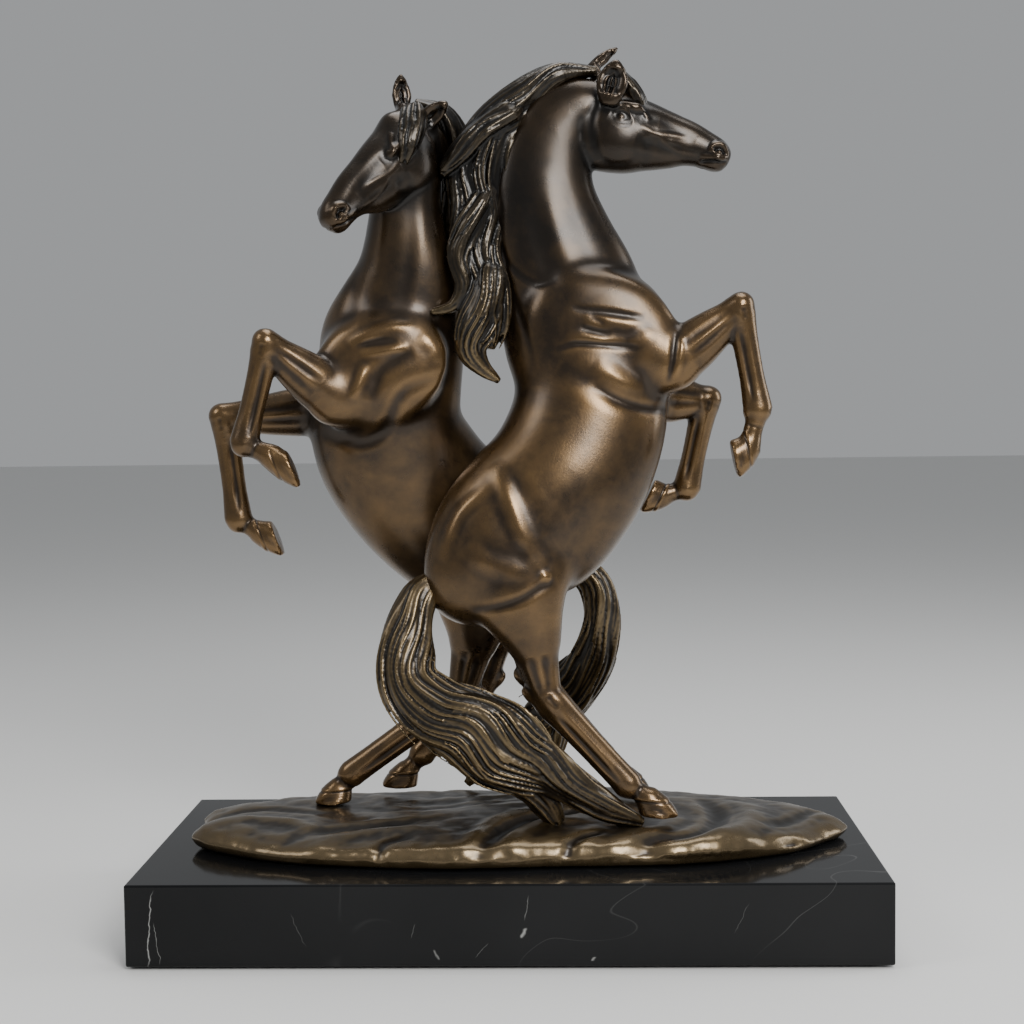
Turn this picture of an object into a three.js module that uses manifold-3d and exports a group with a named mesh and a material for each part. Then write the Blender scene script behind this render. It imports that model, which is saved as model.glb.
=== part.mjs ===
// Bronze statuette of two rearing horses, back to back, on a rocky bronze ground and a marble plinth.
// Millimetres, +Z up. The origin is at the middle of the plinth's footprint, on the surface it stands on.
// +X is to the right and -Y is towards the viewer. The right horse faces +X and the left horse faces -X.
import * as THREE from "three";
import { mergeVertices } from "three/addons/utils/BufferGeometryUtils.js";
import Module from "manifold-3d";

const wasm = await Module();
wasm.setup();

// Figures: the height from the plinth's top to the right horse's far ear tip, and the height posed below
const FIGURE_HEIGHT = 392;
const POSED_HEIGHT = 392;
const FIGURE = FIGURE_HEIGHT / POSED_HEIGHT;

// Bronze ground, which grows with the figures
const GROUND_LENGTH = 322 * FIGURE;
const GROUND_DEPTH = 124 * FIGURE;
const POSED_GROUND_HEIGHT = 15;
const GROUND_HEIGHT = 15 * FIGURE;
const GROUND_SHIFT_Y = -2;
const GROUND_WALL = 4;
const FIGURE_LIFT = GROUND_HEIGHT - POSED_GROUND_HEIGHT * FIGURE;

// Plinth, which keeps its margin round the ground, and pads
const MARGIN_X = 14;
const MARGIN_Y = 23;
const PLINTH_LENGTH = GROUND_LENGTH + 2 * MARGIN_X;
const PLINTH_DEPTH = GROUND_DEPTH + 2 * MARGIN_Y;
const PLINTH_HEIGHT = 38;
const PAD_RADIUS = 10;
const PAD_HEIGHT = 1.5;
const PAD_INSET = 22;

// Castings
const CORE_WALL = 10;
const WELD_GAP = 0.3;

// Fasteners from below
const STUD_RADIUS = 3;
const STUD_CLEARANCE = 0.5;
const THREAD_CLEARANCE = 0.3;
const STUD_SPACING = 95 * FIGURE;
const STUD_X = [-STUD_SPACING, 0, STUD_SPACING];
const WASHER_RADIUS = 9;
const BORE_RADIUS = WASHER_RADIUS + 2;
const BORE_DEPTH = 14;
const WASHER_THICKNESS = 1.6;
const NUT_ACROSS_FLATS = 10;
const NUT_HEIGHT = 5;
const LUG_RADIUS = 7;
const STUD_IN_LUG = 7;

// Limb sections, as [half width, half depth]
const KNEE = [6.6, 7.2];
const FORE_CANNON = [4.6, 5.4];
const HOCK = [7.0, 8.8];
const HIND_CANNON = [5.0, 6.0];
const FETLOCK = [5.8, 6.6];
const PASTERN = [4.8, 4.6];
const CORONET = [6.0, 6.2];
const SOLE = [7.6, 8.8];

const PLINTH_TOP = PAD_HEIGHT + PLINTH_HEIGHT;

const BRONZE = { color: 0x4a3220, roughness: 0.34, metalness: 1 };
const MARBLE = { color: 0x0c0d0e, roughness: 0.12, metalness: 0 };
const STEEL = { color: 0x9a9ea2, roughness: 0.4, metalness: 1 };
const FELT = { color: 0x1b3a26, roughness: 0.95, metalness: 0 };

const vector = (p) => new THREE.Vector3(...p);
const SIDEWAYS = [0, 1, 0];

// ---------------------------------------------------------------- solids

function solidOf(geometry) {
  const bare = geometry.clone();
  bare.deleteAttribute("normal");
  bare.deleteAttribute("uv");
  const merged = mergeVertices(bare, 1e-5);
  return new wasm.Manifold(new wasm.Mesh({
    numProp: 3,
    vertProperties: new Float32Array(merged.attributes.position.array),
    triVerts: new Uint32Array(merged.index.array),
  }));
}

function geometryOf(solid) {
  const mesh = solid.getMesh();
  const geometry = new THREE.BufferGeometry();
  geometry.setAttribute("position", new THREE.BufferAttribute(mesh.vertProperties, 3));
  geometry.setIndex(new THREE.BufferAttribute(mesh.triVerts, 1));
  return geometry;
}

const join = (...solids) => solids.reduce((sum, next) => sum.add(next));
const cutBy = (solid, ...tools) => tools.reduce((rest, tool) => rest.subtract(tool), solid);

// The largest body of a cut piece, so that no sliver is left beside it.
function mainBody(solid) {
  const bodies = solid.decompose();
  return bodies.reduce((best, next) => (next.volume() > best.volume() ? next : best));
}

// A closed body along a smooth spine. Each station is [x, y, z, half width, half depth]: the width lies along
// the side direction and the depth across it. Grow adds to every section, and to both ends.
function loft(stations, { side = SIDEWAYS, sides = 14, rings = 0, grow = 0 } = {}) {
  const spine = new THREE.CatmullRomCurve3(stations.map((s) => vector(s.slice(0, 3))), false, "centripetal");
  const sizes = new THREE.CatmullRomCurve3(stations.map((s) => new THREE.Vector3(s[3], s[4], 0)));
  const count = rings || 2 * (stations.length - 1);
  const geometry = new THREE.CylinderGeometry(1, 1, 1, sides, count, false);
  const position = geometry.attributes.position;
  const sideways = vector(side).normalize();
  for (let i = 0; i < position.count; i += 1) {
    const along = position.getY(i) + 0.5;
    const centre = spine.getPoint(along);
    const tangent = spine.getTangent(along);
    const across = sideways.clone().addScaledVector(tangent, -sideways.dot(tangent)).normalize();
    const up = new THREE.Vector3().crossVectors(across, tangent);
    const size = sizes.getPoint(THREE.MathUtils.clamp(along, 0, 1));
    const width = Math.max(size.x, 0.3) + grow;
    const depth = Math.max(size.y, 0.3) + grow;
    const end = Math.round(along - 0.5 + Math.sign(along - 0.5) * 1e-6);
    centre.addScaledVector(across, position.getX(i) * width);
    centre.addScaledVector(up, position.getZ(i) * depth);
    centre.addScaledVector(tangent, end * grow);
    position.setXYZ(i, centre.x, centre.y, centre.z);
  }
  return solidOf(geometry);
}

// An ellipsoid with its first half size along a direction, its second along the side, its third across both.
function muscle(centre, sizes, direction = [1, 0, 0], { side = SIDEWAYS, grow = 0, detail = 8 } = {}) {
  const along = vector(direction).normalize();
  const across = vector(side).addScaledVector(along, -vector(side).dot(along)).normalize();
  const up = new THREE.Vector3().crossVectors(along, across);
  const geometry = new THREE.SphereGeometry(1, detail, Math.round(detail * 0.7));
  geometry.scale(...sizes.map((s) => s + grow));
  geometry.applyMatrix4(new THREE.Matrix4().makeBasis(along, across, up).setPosition(...centre));
  return solidOf(geometry);
}

// A block whose near face lies on a plane and which reaches outwards from it.
function blockBeyond(point, direction, reach, breadth, offset = 0) {
  const outward = vector(direction).normalize();
  const across = new THREE.Vector3(0, 1, 0).addScaledVector(outward, -outward.y).normalize();
  const up = new THREE.Vector3().crossVectors(outward, across);
  const centre = vector(point).addScaledVector(outward, reach / 2 + offset);
  const geometry = new THREE.BoxGeometry(reach, breadth, breadth);
  geometry.applyMatrix4(new THREE.Matrix4().makeBasis(outward, across, up).setPosition(centre));
  return solidOf(geometry);
}

// A hoof: a cone between the sole and the coronet, whose rings stay parallel to the sole.
function hoof({ sole, coronet, toe }, grow = 0) {
  const forward = vector(toe).normalize();
  const normal = new THREE.Vector3().crossVectors(forward, vector(SIDEWAYS)).normalize();
  if (normal.dot(vector(coronet).sub(vector(sole))) < 0) normal.negate();
  const across = new THREE.Vector3().crossVectors(forward, normal);
  const geometry = new THREE.CylinderGeometry(1, 1, 1, 12, 1, false);
  const position = geometry.attributes.position;
  for (let i = 0; i < position.count; i += 1) {
    const up = position.getY(i) + 0.5;
    const centre = vector(sole).lerp(vector(coronet), up);
    const width = THREE.MathUtils.lerp(SOLE[0], CORONET[0], up) + grow;
    const length = THREE.MathUtils.lerp(SOLE[1], CORONET[1], up) + grow;
    centre.addScaledVector(forward, position.getX(i) * length);
    centre.addScaledVector(across, position.getZ(i) * width);
    centre.addScaledVector(normal, up > 0.99 ? grow : up < 0.01 ? -grow : 0);
    position.setXYZ(i, centre.x, centre.y, centre.z);
  }
  return solidOf(geometry);
}

const between = (a, b, t) => a.map((value, i) => value + (b[i] - value) * t);
const station = (point, size, scale = 1) => [...point, size[0] * scale, size[1] * scale];
const inset = (stations, wall) => stations.map(([x, y, z, w, d]) => [x, y, z, w - wall, d - wall]);

// ---------------------------------------------------------------- poses

// Every point is [x, y, z] from the middle of the plinth's top. Torso and neck stations add half width and half
// depth, from the neck's base downwards to the buttocks, and from the neck's base up to the poll.
const rightPose = {
  torso: [
    [30, 8, 280, 17, 31], [35, 7, 255, 24, 38], [41, 5, 231, 27, 37.5], [41, 3, 213, 27.5, 38.5],
    [36, 0, 195, 28, 39.5], [27, -4, 178, 28, 40], [14, -8, 163, 26, 41], [0, -11, 150, 25, 38.5],
    [-9, -13, 137, 23.5, 34], [-13, -14, 125, 20, 28], [-12, -14, 114, 13, 17], [-11, -14, 109, 5, 7],
  ],
  neck: [
    [33, 7, 262, 20, 36], [29, 8, 274, 19, 36.5], [23, 8, 291, 16.5, 34], [19, 8, 309, 14.5, 30],
    [18, 8, 326, 13, 26], [21, 8, 342, 12, 23.5], [28, 8, 354, 11, 20.5], [38, 8, 360, 10, 16],
  ],
  neckSeam: { point: [29, 8, 272], normal: [-0.25, 0, 1] },
  headSeam: { point: [42, 8, 354], normal: [1, 0, 0.1] },
  head: { poll: [43, 8, 362], muzzle: [109, 8, 337], side: [0, 1, 0] },
  ears: [
    { base: [50, 0, 371], tip: [60, -8, 362], bulge: [59, -6, 373], side: [0.4, 0.5, 0.7] },
    { base: [45, 14, 378], tip: [57, 18, 391], bulge: [48, 16, 388], side: [0.2, 1, 0] },
  ],
  nearFore: {
    top: [60, -8, 252], elbow: [79, -9, 234], knee: [113, -12, 261], fetlock: [122, -12, 212],
    hoof: { sole: [115, -12, 186.5], coronet: [118.5, -12, 197], toe: [0.37, 0, -0.93] },
  },
  farFore: {
    top: [60, 22, 240], elbow: [74, 25, 219], knee: [100, 30, 217], fetlock: [90, 30, 172],
    hoof: { sole: [69.5, 30, 167.5], coronet: [77.5, 30, 167], toe: [-0.39, 0, -0.92] },
  },
  nearHind: {
    hip: [2, -20, 152], stifle: [6, -25, 122], gaskin: [12, -25, 103], hock: [18, -26, 75],
    fetlock: [57.5, -28, 32],
    hoof: { sole: [71.5, -29, 17.2], coronet: [66.5, -29, 26], toe: [1, 0, -0.04] },
  },
  farHind: {
    hip: [2, -3, 152], stifle: [4, 1, 122], gaskin: [9, 3, 103], hock: [13, 6, 78],
    fetlock: [47, 10, 37],
    hoof: { sole: [60, 12, 19.5], coronet: [56, 12, 28], toe: [1, 0, 0] },
  },
  tail: [
    [-30, -14, 134, 6, 7], [-40, -17, 127, 7, 8], [-47, -22, 113, 8, 10], [-49, -28, 98, 8, 12.5],
    [-46, -34, 83, 8, 14], [-34, -40, 71, 8, 16], [-18, -43, 63, 8, 18.5], [-2, -44, 54, 7.5, 20.5],
    [10, -42, 45, 6.5, 19],
  ],
  tailTips: [
    [[2, -42, 50, 6, 13], [12, -38, 35, 5.5, 10], [19, -35, 23, 4.5, 6.5], [24, -33, 14, 2.5, 2.5]],
    [[8, -42, 50, 6, 12], [28, -40, 37, 5.5, 9], [47, -36, 23, 4.5, 6], [64, -31, 14.5, 2.5, 2]],
  ],
  mane: [
    [[46, 8, 379, 5, 4], [27, 8, 377, 8, 6], [10, 8, 367, 10, 8.5], [-3, 7, 352, 11, 11],
      [-12, 6, 334, 11, 12], [-16, 5, 312, 11, 12], [-13, 3, 292, 11, 10.5], [-7, 0, 274, 10, 10],
      [-6, -3, 256, 8.5, 9], [-8, -4, 240, 4, 5]],
    [[8, 2, 362, 6, 7], [-10, -2, 349, 7, 7], [-22, -3, 338, 5.5, 6], [-31, -2, 329, 2.5, 2.5]],
    [[-8, -4, 310, 6, 8], [-18, -7, 300, 6, 7.5], [-24, -7, 287, 5, 5.5], [-22, -7, 273, 4, 4],
      [-33, -7, 263, 1.5, 2]],
    [[-2, -6, 280, 6, 7], [-2, -9, 262, 6, 8], [-2, -9, 245, 5, 6], [2, -8, 231, 2, 2.5]],
  ],
  forelock: [[50, 7, 378, 5, 4], [59, 5, 373, 5, 3.5], [66, 4, 364, 3.5, 3], [69, 4, 357, 1.5, 1.5]],
};

const leftPose = {
  torso: [
    [-53, 9, 274, 16, 27], [-57, 12, 253, 23, 35.5], [-59, 15, 232, 26, 36.5], [-62, 19, 214, 27, 38],
    [-60, 23, 197, 28, 39.5], [-52, 27, 182, 28, 40], [-40, 31, 167, 27, 40], [-24, 35, 153, 25.5, 40],
    [-6, 38, 141, 23.5, 38], [9, 40, 130, 20, 31], [18, 41, 121, 13, 20], [22, 41, 116, 6, 8],
  ],
  neck: [
    [-54, 10, 256, 19, 31], [-52, 9, 268, 18, 30], [-49, 8, 283, 17, 26.5], [-49, 7, 297, 16, 22],
    [-49, 6, 312, 14.5, 18.5], [-47, 4, 326, 13, 16], [-45, 2, 340, 12, 14], [-44, 1, 352, 10, 11],
  ],
  neckSeam: { point: [-52, 9, 267], normal: [0.15, -0.05, 1] },
  headSeam: { point: [-45, 3, 341], normal: [-0.72, -0.45, 0.35] },
  head: { poll: [-43, 3, 354], muzzle: [-83, -33, 304.5], side: [-0.67, 0.74, 0] },
  ears: [
    { base: [-37, 3, 352], tip: [-28, -6, 360], bulge: [-34, -6, 355], side: [0.5, -0.7, 0.5] },
    { base: [-51, 9, 359], tip: [-51, 8, 377], bulge: [-53, 7, 366], side: [0.8, 0.4, 0] },
  ],
  nearFore: {
    top: [-62, -4, 238], elbow: [-82, -9, 219], knee: [-114, -24, 246], fetlock: [-126, -26, 199],
    hoof: { sole: [-102, -26, 187], coronet: [-113, -26, 193], toe: [-0.43, 0, -0.9] },
  },
  farFore: {
    top: [-66, 24, 236], elbow: [-86, 26, 215], knee: [-144, 21, 211], fetlock: [-138, 20, 159],
    hoof: { sole: [-118, 20, 150], coronet: [-127.5, 20, 153], toe: [0.35, 0, -0.93] },
  },
  nearHind: {
    hip: [-6, 30, 140], stifle: [-17, 27, 116], gaskin: [-19, 27, 98], hock: [-26, 26, 68],
    fetlock: [-84, 22, 27],
    hoof: { sole: [-92.5, 21, 13], coronet: [-89, 22, 20], toe: [-1, 0, -0.04] },
  },
  farHind: {
    hip: [2, 48, 138], stifle: [-8, 52, 113], gaskin: [-11, 51, 96], hock: [-16, 49, 70],
    fetlock: [-49, 44, 33],
    hoof: { sole: [-60, 43, 16], coronet: [-56.5, 43, 24], toe: [-1, 0, 0] },
  },
  tail: [
    [18, 41, 124, 5, 6], [31, 42, 131, 6, 7], [42, 41, 124, 7, 8], [47, 41, 109, 7.5, 9],
    [45, 44, 92, 8, 10.5], [38, 50, 76, 8, 12], [27, 57, 62, 7.5, 14], [12, 60, 48, 7, 14.5],
  ],
  tailTips: [
    [[20, 59, 56, 6, 9], [20, 59, 38, 5.5, 7.5], [16, 58, 24, 4, 5], [12, 57, 13.5, 2.5, 2]],
    [[16, 60, 52, 6, 9], [0, 60, 38, 5.5, 7.5], [-14, 59, 26, 4, 5], [-26, 58, 13.5, 2.5, 2]],
  ],
  mane: [
    [[-44, 8, 365, 5, 4], [-31, 12, 359, 7, 5.5], [-24, 16, 345, 8, 7.5], [-23, 20, 327, 8, 10],
      [-24, 22, 309, 8, 11], [-22, 24, 291, 8, 12], [-20, 26, 274, 8, 12], [-20, 28, 258, 7, 9],
      [-18, 28, 244, 3, 4]],
    [[-28, 22, 318, 6, 9], [-32, 25, 298, 6.5, 9], [-34, 29, 278, 6.5, 9], [-38, 33, 258, 6, 7],
      [-44, 36, 242, 2.5, 3]],
    [[-26, 14, 330, 6, 7], [-18, 14, 318, 6, 7], [-13, 14, 304, 5, 6], [-11, 15, 289, 2, 3]],
  ],
  forelock: [[-46, -1, 361, 5, 4.5], [-47, -9, 353, 5.5, 5], [-50, -13, 344, 5, 4.5], [-52, -15, 334, 2, 2]],
};

// Head sections from the poll to the lips: share of the head's length, drop below its axis, half width and
// half depth, for a head whose length from poll to muzzle is HEAD_LENGTH
const HEAD_LENGTH = 70.6;
const HEAD_SECTIONS = [
  [-0.04, 5, 9, 14], [0.12, 4, 12, 21], [0.28, 3.2, 13, 20.5], [0.42, 2.2, 11.8, 17.5], [0.57, -0.4, 9.6, 14.2],
  [0.71, -2.2, 8, 11.8], [0.84, -2.6, 7.4, 10.2], [0.94, -1.8, 7.8, 9], [1.01, -1, 6, 6], [1.03, -1, 3, 3],
];

// ---------------------------------------------------------------- one horse

function headSolid({ poll, muzzle, side }, grow) {
  const axis = vector(muzzle).sub(vector(poll));
  const length = axis.length();
  const down = new THREE.Vector3().crossVectors(vector(side), axis).normalize();
  if (down.z > 0) down.negate();
  const share = length / HEAD_LENGTH;
  const stations = HEAD_SECTIONS.map(([along, drop, width, depth]) => {
    const centre = vector(poll).addScaledVector(axis, along).addScaledVector(down, drop * share);
    return [centre.x, centre.y, centre.z, width * share, depth * share];
  });
  return loft(stations, { side, sides: 14, rings: 11, grow });
}

function earSolid({ base, tip, bulge, side }, grow) {
  const stations = [
    station(between(base, bulge, -0.6), [3.4, 3.4]), station(base, [3.6, 3.8]),
    station(between(bulge, between(base, tip, 0.5), 0.5), [3.6, 4.6]),
    station(between(bulge, tip, 0.6), [2.2, 2.8]), station(tip, [0.6, 0.7]),
  ];
  return loft(stations, { side, sides: 7, rings: 5, grow });
}

// The part of a foreleg that belongs to the body casting: shoulder and upper arm
function upperForeleg({ top, elbow, knee }, grow) {
  return loft([
    station(top, [5, 8]), station(between(top, elbow, 0.4), [11, 17]), station(elbow, [10.5, 14]),
    station(between(elbow, knee, 0.45), [8.6, 10]),
  ], { sides: 10, rings: 5, grow });
}

function lowerForeleg({ elbow, knee, fetlock, hoof: foot }, grow) {
  const limb = loft([
    station(elbow, [10, 13]), station(between(elbow, knee, 0.35), [9, 10.6]),
    station(between(elbow, knee, 0.7), [7.2, 8.4]), station(knee, KNEE),
  ], { sides: 10, rings: 4, grow });
  const cannon = loft([
    station(knee, KNEE, 0.98), station(between(knee, fetlock, 0.22), FORE_CANNON, 1.1),
    station(between(knee, fetlock, 0.6), FORE_CANNON), station(fetlock, FETLOCK),
  ], { sides: 10, rings: 5, grow });
  return join(limb, cannon, muscle(knee, [KNEE[1] + 0.8, KNEE[0] + 0.4, KNEE[1] + 0.6], [1, 0, 0], { grow }),
    footSolid(fetlock, foot, grow));
}

function upperHindLeg({ hip, stifle, gaskin }, grow) {
  return loft([
    station(hip, [13, 27]), station(between(hip, stifle, 0.5), [14, 28]), station(stifle, [12.5, 24]),
    station(gaskin, [9.6, 13.5]),
  ], { sides: 12, rings: 5, grow });
}

function lowerHindLeg({ stifle, gaskin, hock, fetlock, hoof: foot }, grow) {
  const shank = loft([
    station(stifle, [11, 22]), station(gaskin, [9.4, 13]), station(between(gaskin, hock, 0.5), [7.8, 10]),
    station(hock, HOCK),
  ], { sides: 10, rings: 4, grow });
  const cannon = loft([
    station(hock, HOCK, 0.96), station(between(hock, fetlock, 0.22), HIND_CANNON, 1.14),
    station(between(hock, fetlock, 0.6), HIND_CANNON), station(fetlock, FETLOCK),
  ], { sides: 10, rings: 5, grow });
  return join(shank, cannon, muscle(hock, [HOCK[1], HOCK[0] + 0.3, HOCK[1]], [1, 0, 0], { grow }),
    footSolid(fetlock, foot, grow));
}

function footSolid(fetlock, foot, grow) {
  const pastern = loft([
    station(fetlock, FETLOCK, 0.9), station(between(fetlock, foot.coronet, 0.55), PASTERN),
    station(foot.coronet, CORONET, 0.9),
  ], { sides: 10, rings: 2, grow });
  return join(muscle(fetlock, [FETLOCK[1], FETLOCK[0], FETLOCK[1]], [1, 0, 0], { grow }),
    pastern, hoof(foot, grow));
}

const upperLimbs = (pose, grow) => join(
  upperForeleg(pose.nearFore, grow), upperForeleg(pose.farFore, grow),
  upperHindLeg(pose.nearHind, grow), upperHindLeg(pose.farHind, grow),
);
const torsoSolid = (pose, grow) => loft(pose.torso, { sides: 16, rings: 15, grow });
const neckSolid = (pose, grow) => loft(pose.neck, { sides: 14, rings: 9, grow });
const headAndEars = (pose, grow) => join(headSolid(pose.head, grow),
  ...pose.ears.map((ear) => earSolid(ear, grow)));
const legSeam = (a, b, share) => ({ point: between(a, b, share), normal: between(a, b, 1).map((v, i) => v - a[i]) });

const seamsOf = (pose) => ({
  nearFore: legSeam(pose.nearFore.elbow, pose.nearFore.knee, 0.22),
  farFore: legSeam(pose.farFore.elbow, pose.farFore.knee, 0.22),
  nearHind: legSeam(pose.nearHind.stifle, pose.nearHind.gaskin, 0.8),
  farHind: legSeam(pose.farHind.stifle, pose.farHind.gaskin, 0.8),
});

const LIMB_BLOCK = 46;
const LIMB_REACH = 28;
const TRUNK_BLOCK = 320;

function seamCut(solid, seam, reach, breadth) {
  return cutBy(solid, blockBeyond(seam.point, seam.normal, reach, breadth, -WELD_GAP / 2));
}

function seamKeep(solid, seam, reach, breadth) {
  return solid.intersect(blockBeyond(seam.point, seam.normal, reach, breadth, WELD_GAP / 2));
}

// A limb without the stretch that lies on the body's side of its seam.
function limbBeyond(limb, { point, normal }, gap) {
  return cutBy(limb, blockBeyond(point, normal.map((v) => -v), LIMB_REACH, LIMB_BLOCK, -gap));
}

// The castings of one horse, each in one piece, with its hollow core open at the weld faces.
function horseCastings(pose) {
  const seams = seamsOf(pose);
  const trunk = join(torsoSolid(pose, 0), neckSolid(pose, 0), upperLimbs(pose, 0));
  const core = loft(inset(pose.torso.slice(0, -3), CORE_WALL), { sides: 12, rings: 10 });
  const neckCore = loft(inset(pose.neck.slice(0, 5), CORE_WALL * 0.7), { sides: 12, rings: 8 });
  const front = join(neckSolid(pose, 0), torsoSolid(pose, 0), headAndEars(pose, 0));
  let body = seamCut(cutBy(trunk, core, neckCore), pose.neckSeam, TRUNK_BLOCK, TRUNK_BLOCK);
  const legs = {};
  const grownLegs = [];
  for (const [name, lower] of [["nearFore", lowerForeleg], ["farFore", lowerForeleg],
    ["nearHind", lowerHindLeg], ["farHind", lowerHindLeg]]) {
    body = seamCut(body, seams[name], LIMB_REACH, LIMB_BLOCK);
    legs[name] = limbBeyond(lower(pose[name], 0), seams[name], WELD_GAP / 2);
    grownLegs.push(limbBeyond(lower(pose[name], WELD_GAP), seams[name], 0));
  }
  body = cutBy(body, ...grownLegs);
  const neckPart = seamCut(seamKeep(cutBy(front, neckCore), pose.neckSeam, TRUNK_BLOCK, TRUNK_BLOCK),
    pose.headSeam, TRUNK_BLOCK, TRUNK_BLOCK);
  const headPart = seamKeep(seamKeep(front, pose.neckSeam, TRUNK_BLOCK, TRUNK_BLOCK), pose.headSeam,
    TRUNK_BLOCK, TRUNK_BLOCK);
  const around = join(torsoSolid(pose, WELD_GAP), neckSolid(pose, WELD_GAP), headAndEars(pose, WELD_GAP),
    upperLimbs(pose, WELD_GAP));
  const forelock = cutBy(forelockSolid(pose, 0), around);
  const mane = cutBy(maneSolid(pose, 0), around, forelockSolid(pose, WELD_GAP));
  const tail = cutBy(tailSolid(pose, 0), around, ...grownLegs);
  return { body, neck: neckPart, head: headPart, mane, forelock, tail, ...legs };
}

const forelockSolid = (pose, grow) => loft(pose.forelock, { side: pose.head.side, sides: 8, rings: 7, grow });
const maneSolid = (pose, grow) => join(...pose.mane.map((lock) => loft(lock, {
  sides: 8, rings: Math.round(lock.length * 1.2), grow,
})));
const tailSolid = (pose, grow) => join(loft(pose.tail, { sides: 10, rings: 11, grow }),
  ...pose.tailTips.map((tip) => loft(tip, { sides: 8, rings: 5, grow })));

// Everything of one horse, grown by the weld gap, to clear what stands beside or below it.
const clearanceOf = (pose) => join(torsoSolid(pose, WELD_GAP), upperLimbs(pose, WELD_GAP),
  neckSolid(pose, WELD_GAP), lowerForeleg(pose.nearFore, WELD_GAP), lowerForeleg(pose.farFore, WELD_GAP),
  lowerHindLeg(pose.nearHind, WELD_GAP), lowerHindLeg(pose.farHind, WELD_GAP));

// ---------------------------------------------------------------- ground and plinth

const GROUND_POINTS = 40;

// Height of the rock over the plinth: a low mound with gentle swells and two rock shelves.
function groundHeight(x, y) {
  const u = x / (GROUND_LENGTH / 2);
  const v = (y - GROUND_SHIFT_Y) / (GROUND_DEPTH / 2);
  const swell = 1.3 * Math.sin(4.1 * u + 0.6) + 1.0 * Math.sin(6.3 * u - 2.2 * v + 1) + 0.8 * Math.cos(5 * v - 2 * u);
  return GROUND_HEIGHT * (1 - 0.2 * u * u - 0.16 * v * v) + swell * FIGURE;
}

function groundRim(angle) {
  const wave = 1 + 0.02 * Math.sin(3 * angle + 0.7) + 0.018 * Math.sin(7 * angle + 2) + 0.012 * Math.cos(11 * angle);
  const squareness = 1 + 0.07 * Math.sin(2 * angle) ** 2;
  return [Math.cos(angle) * squareness * wave * GROUND_LENGTH / 2,
    Math.sin(angle) * squareness * wave * GROUND_DEPTH / 2];
}

// A dish with a rounded, undercut rim: rings from the middle of its top, over the rim, to the middle below.
function rockSolid(wall) {
  const shares = [0, 0.22, 0.42, 0.6, 0.76, 0.88, 0.96, 1, 0.985, 0.955, 0.5, 0];
  const lift = [1, 1, 1, 1, 1, 0.97, 0.82, 0.45, 0.12, 0, 0, 0];
  const profile = shares.map((share, i) => new THREE.Vector2(share, i));
  const geometry = new THREE.LatheGeometry(profile, GROUND_POINTS);
  const position = geometry.attributes.position;
  for (let i = 0; i < position.count; i += 1) {
    const ring = Math.round(position.getY(i));
    const angle = Math.atan2(position.getZ(i), position.getX(i));
    const [rx, ry] = groundRim(angle);
    const share = shares[ring] * (1 - wall * 2 / GROUND_DEPTH);
    const x = rx * share;
    const y = ry * share + GROUND_SHIFT_Y;
    const z = wall > 0 && lift[ring] === 0 ? -1 : groundHeight(x, y) * lift[ring] - wall * (lift[ring] > 0);
    position.setXYZ(i, x, y, z);
  }
  const solid = solidOf(geometry);
  return solid.volume() < 0 ? solidOf(flipped(geometry)) : solid;
}

function flipped(geometry) {
  const copy = geometry.clone();
  const index = copy.index.array;
  for (let i = 0; i < index.length; i += 3) {
    [index[i], index[i + 1]] = [index[i + 1], index[i]];
  }
  return copy;
}

function post(x, y, low, high, radius, sides = 24) {
  const geometry = new THREE.CylinderGeometry(radius, radius, high - low, sides);
  geometry.rotateX(Math.PI / 2);
  geometry.translate(x, y, (low + high) / 2);
  return solidOf(geometry);
}

const STUD_Y = GROUND_SHIFT_Y;
const studTop = STUD_IN_LUG;
const studBottom = -PLINTH_HEIGHT + 2;
const boreTop = -PLINTH_HEIGHT + BORE_DEPTH;

function groundCasting(clearances) {
  const shell = cutBy(rockSolid(0), rockSolid(GROUND_WALL));
  const lugs = STUD_X.map((x) => post(x, STUD_Y, WELD_GAP, groundHeight(x, STUD_Y) - 1, LUG_RADIUS));
  const holes = STUD_X.map((x) => post(x, STUD_Y, -1, studTop + 0.6, STUD_RADIUS + THREAD_CLEARANCE));
  const seat = blockBeyond([0, 0, WELD_GAP], [0, 0, -1], 20, 400);
  return mainBody(cutBy(join(shell, ...lugs), ...holes, seat, ...clearances));
}

function plinthBlock() {
  const block = solidOf(new THREE.BoxGeometry(PLINTH_LENGTH, PLINTH_DEPTH, PLINTH_HEIGHT)
    .translate(0, 0, -PLINTH_HEIGHT / 2));
  const holes = STUD_X.map((x) => post(x, STUD_Y, -PLINTH_HEIGHT - 1, 1, STUD_RADIUS + STUD_CLEARANCE));
  const bores = STUD_X.map((x) => post(x, STUD_Y, -PLINTH_HEIGHT - 1, boreTop, BORE_RADIUS));
  return cutBy(block, ...holes, ...bores);
}

// ---------------------------------------------------------------- assembly

const statuette = new THREE.Group();
const figures = new THREE.Group();
figures.position.z = PLINTH_TOP;
statuette.add(figures);

function add(group, name, solid, look) {
  const mesh = new THREE.Mesh(geometryOf(solid), new THREE.MeshStandardMaterial(look));
  mesh.name = name;
  group.add(mesh);
  return mesh;
}

const LEG_NAMES = {
  nearFore: "near_foreleg", farFore: "far_foreleg", nearHind: "near_hind_leg", farHind: "far_hind_leg",
};
const scaled = (solid) => solid.scale([FIGURE, FIGURE, FIGURE]).translate([0, 0, FIGURE_LIFT]);

const rightHorse = horseCastings(rightPose);
const leftHorse = horseCastings(leftPose);
const rightClearance = clearanceOf(rightPose);
const leftClearance = clearanceOf(leftPose);
const tailClearances = [tailSolid(rightPose, WELD_GAP), tailSolid(leftPose, WELD_GAP)];

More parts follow.
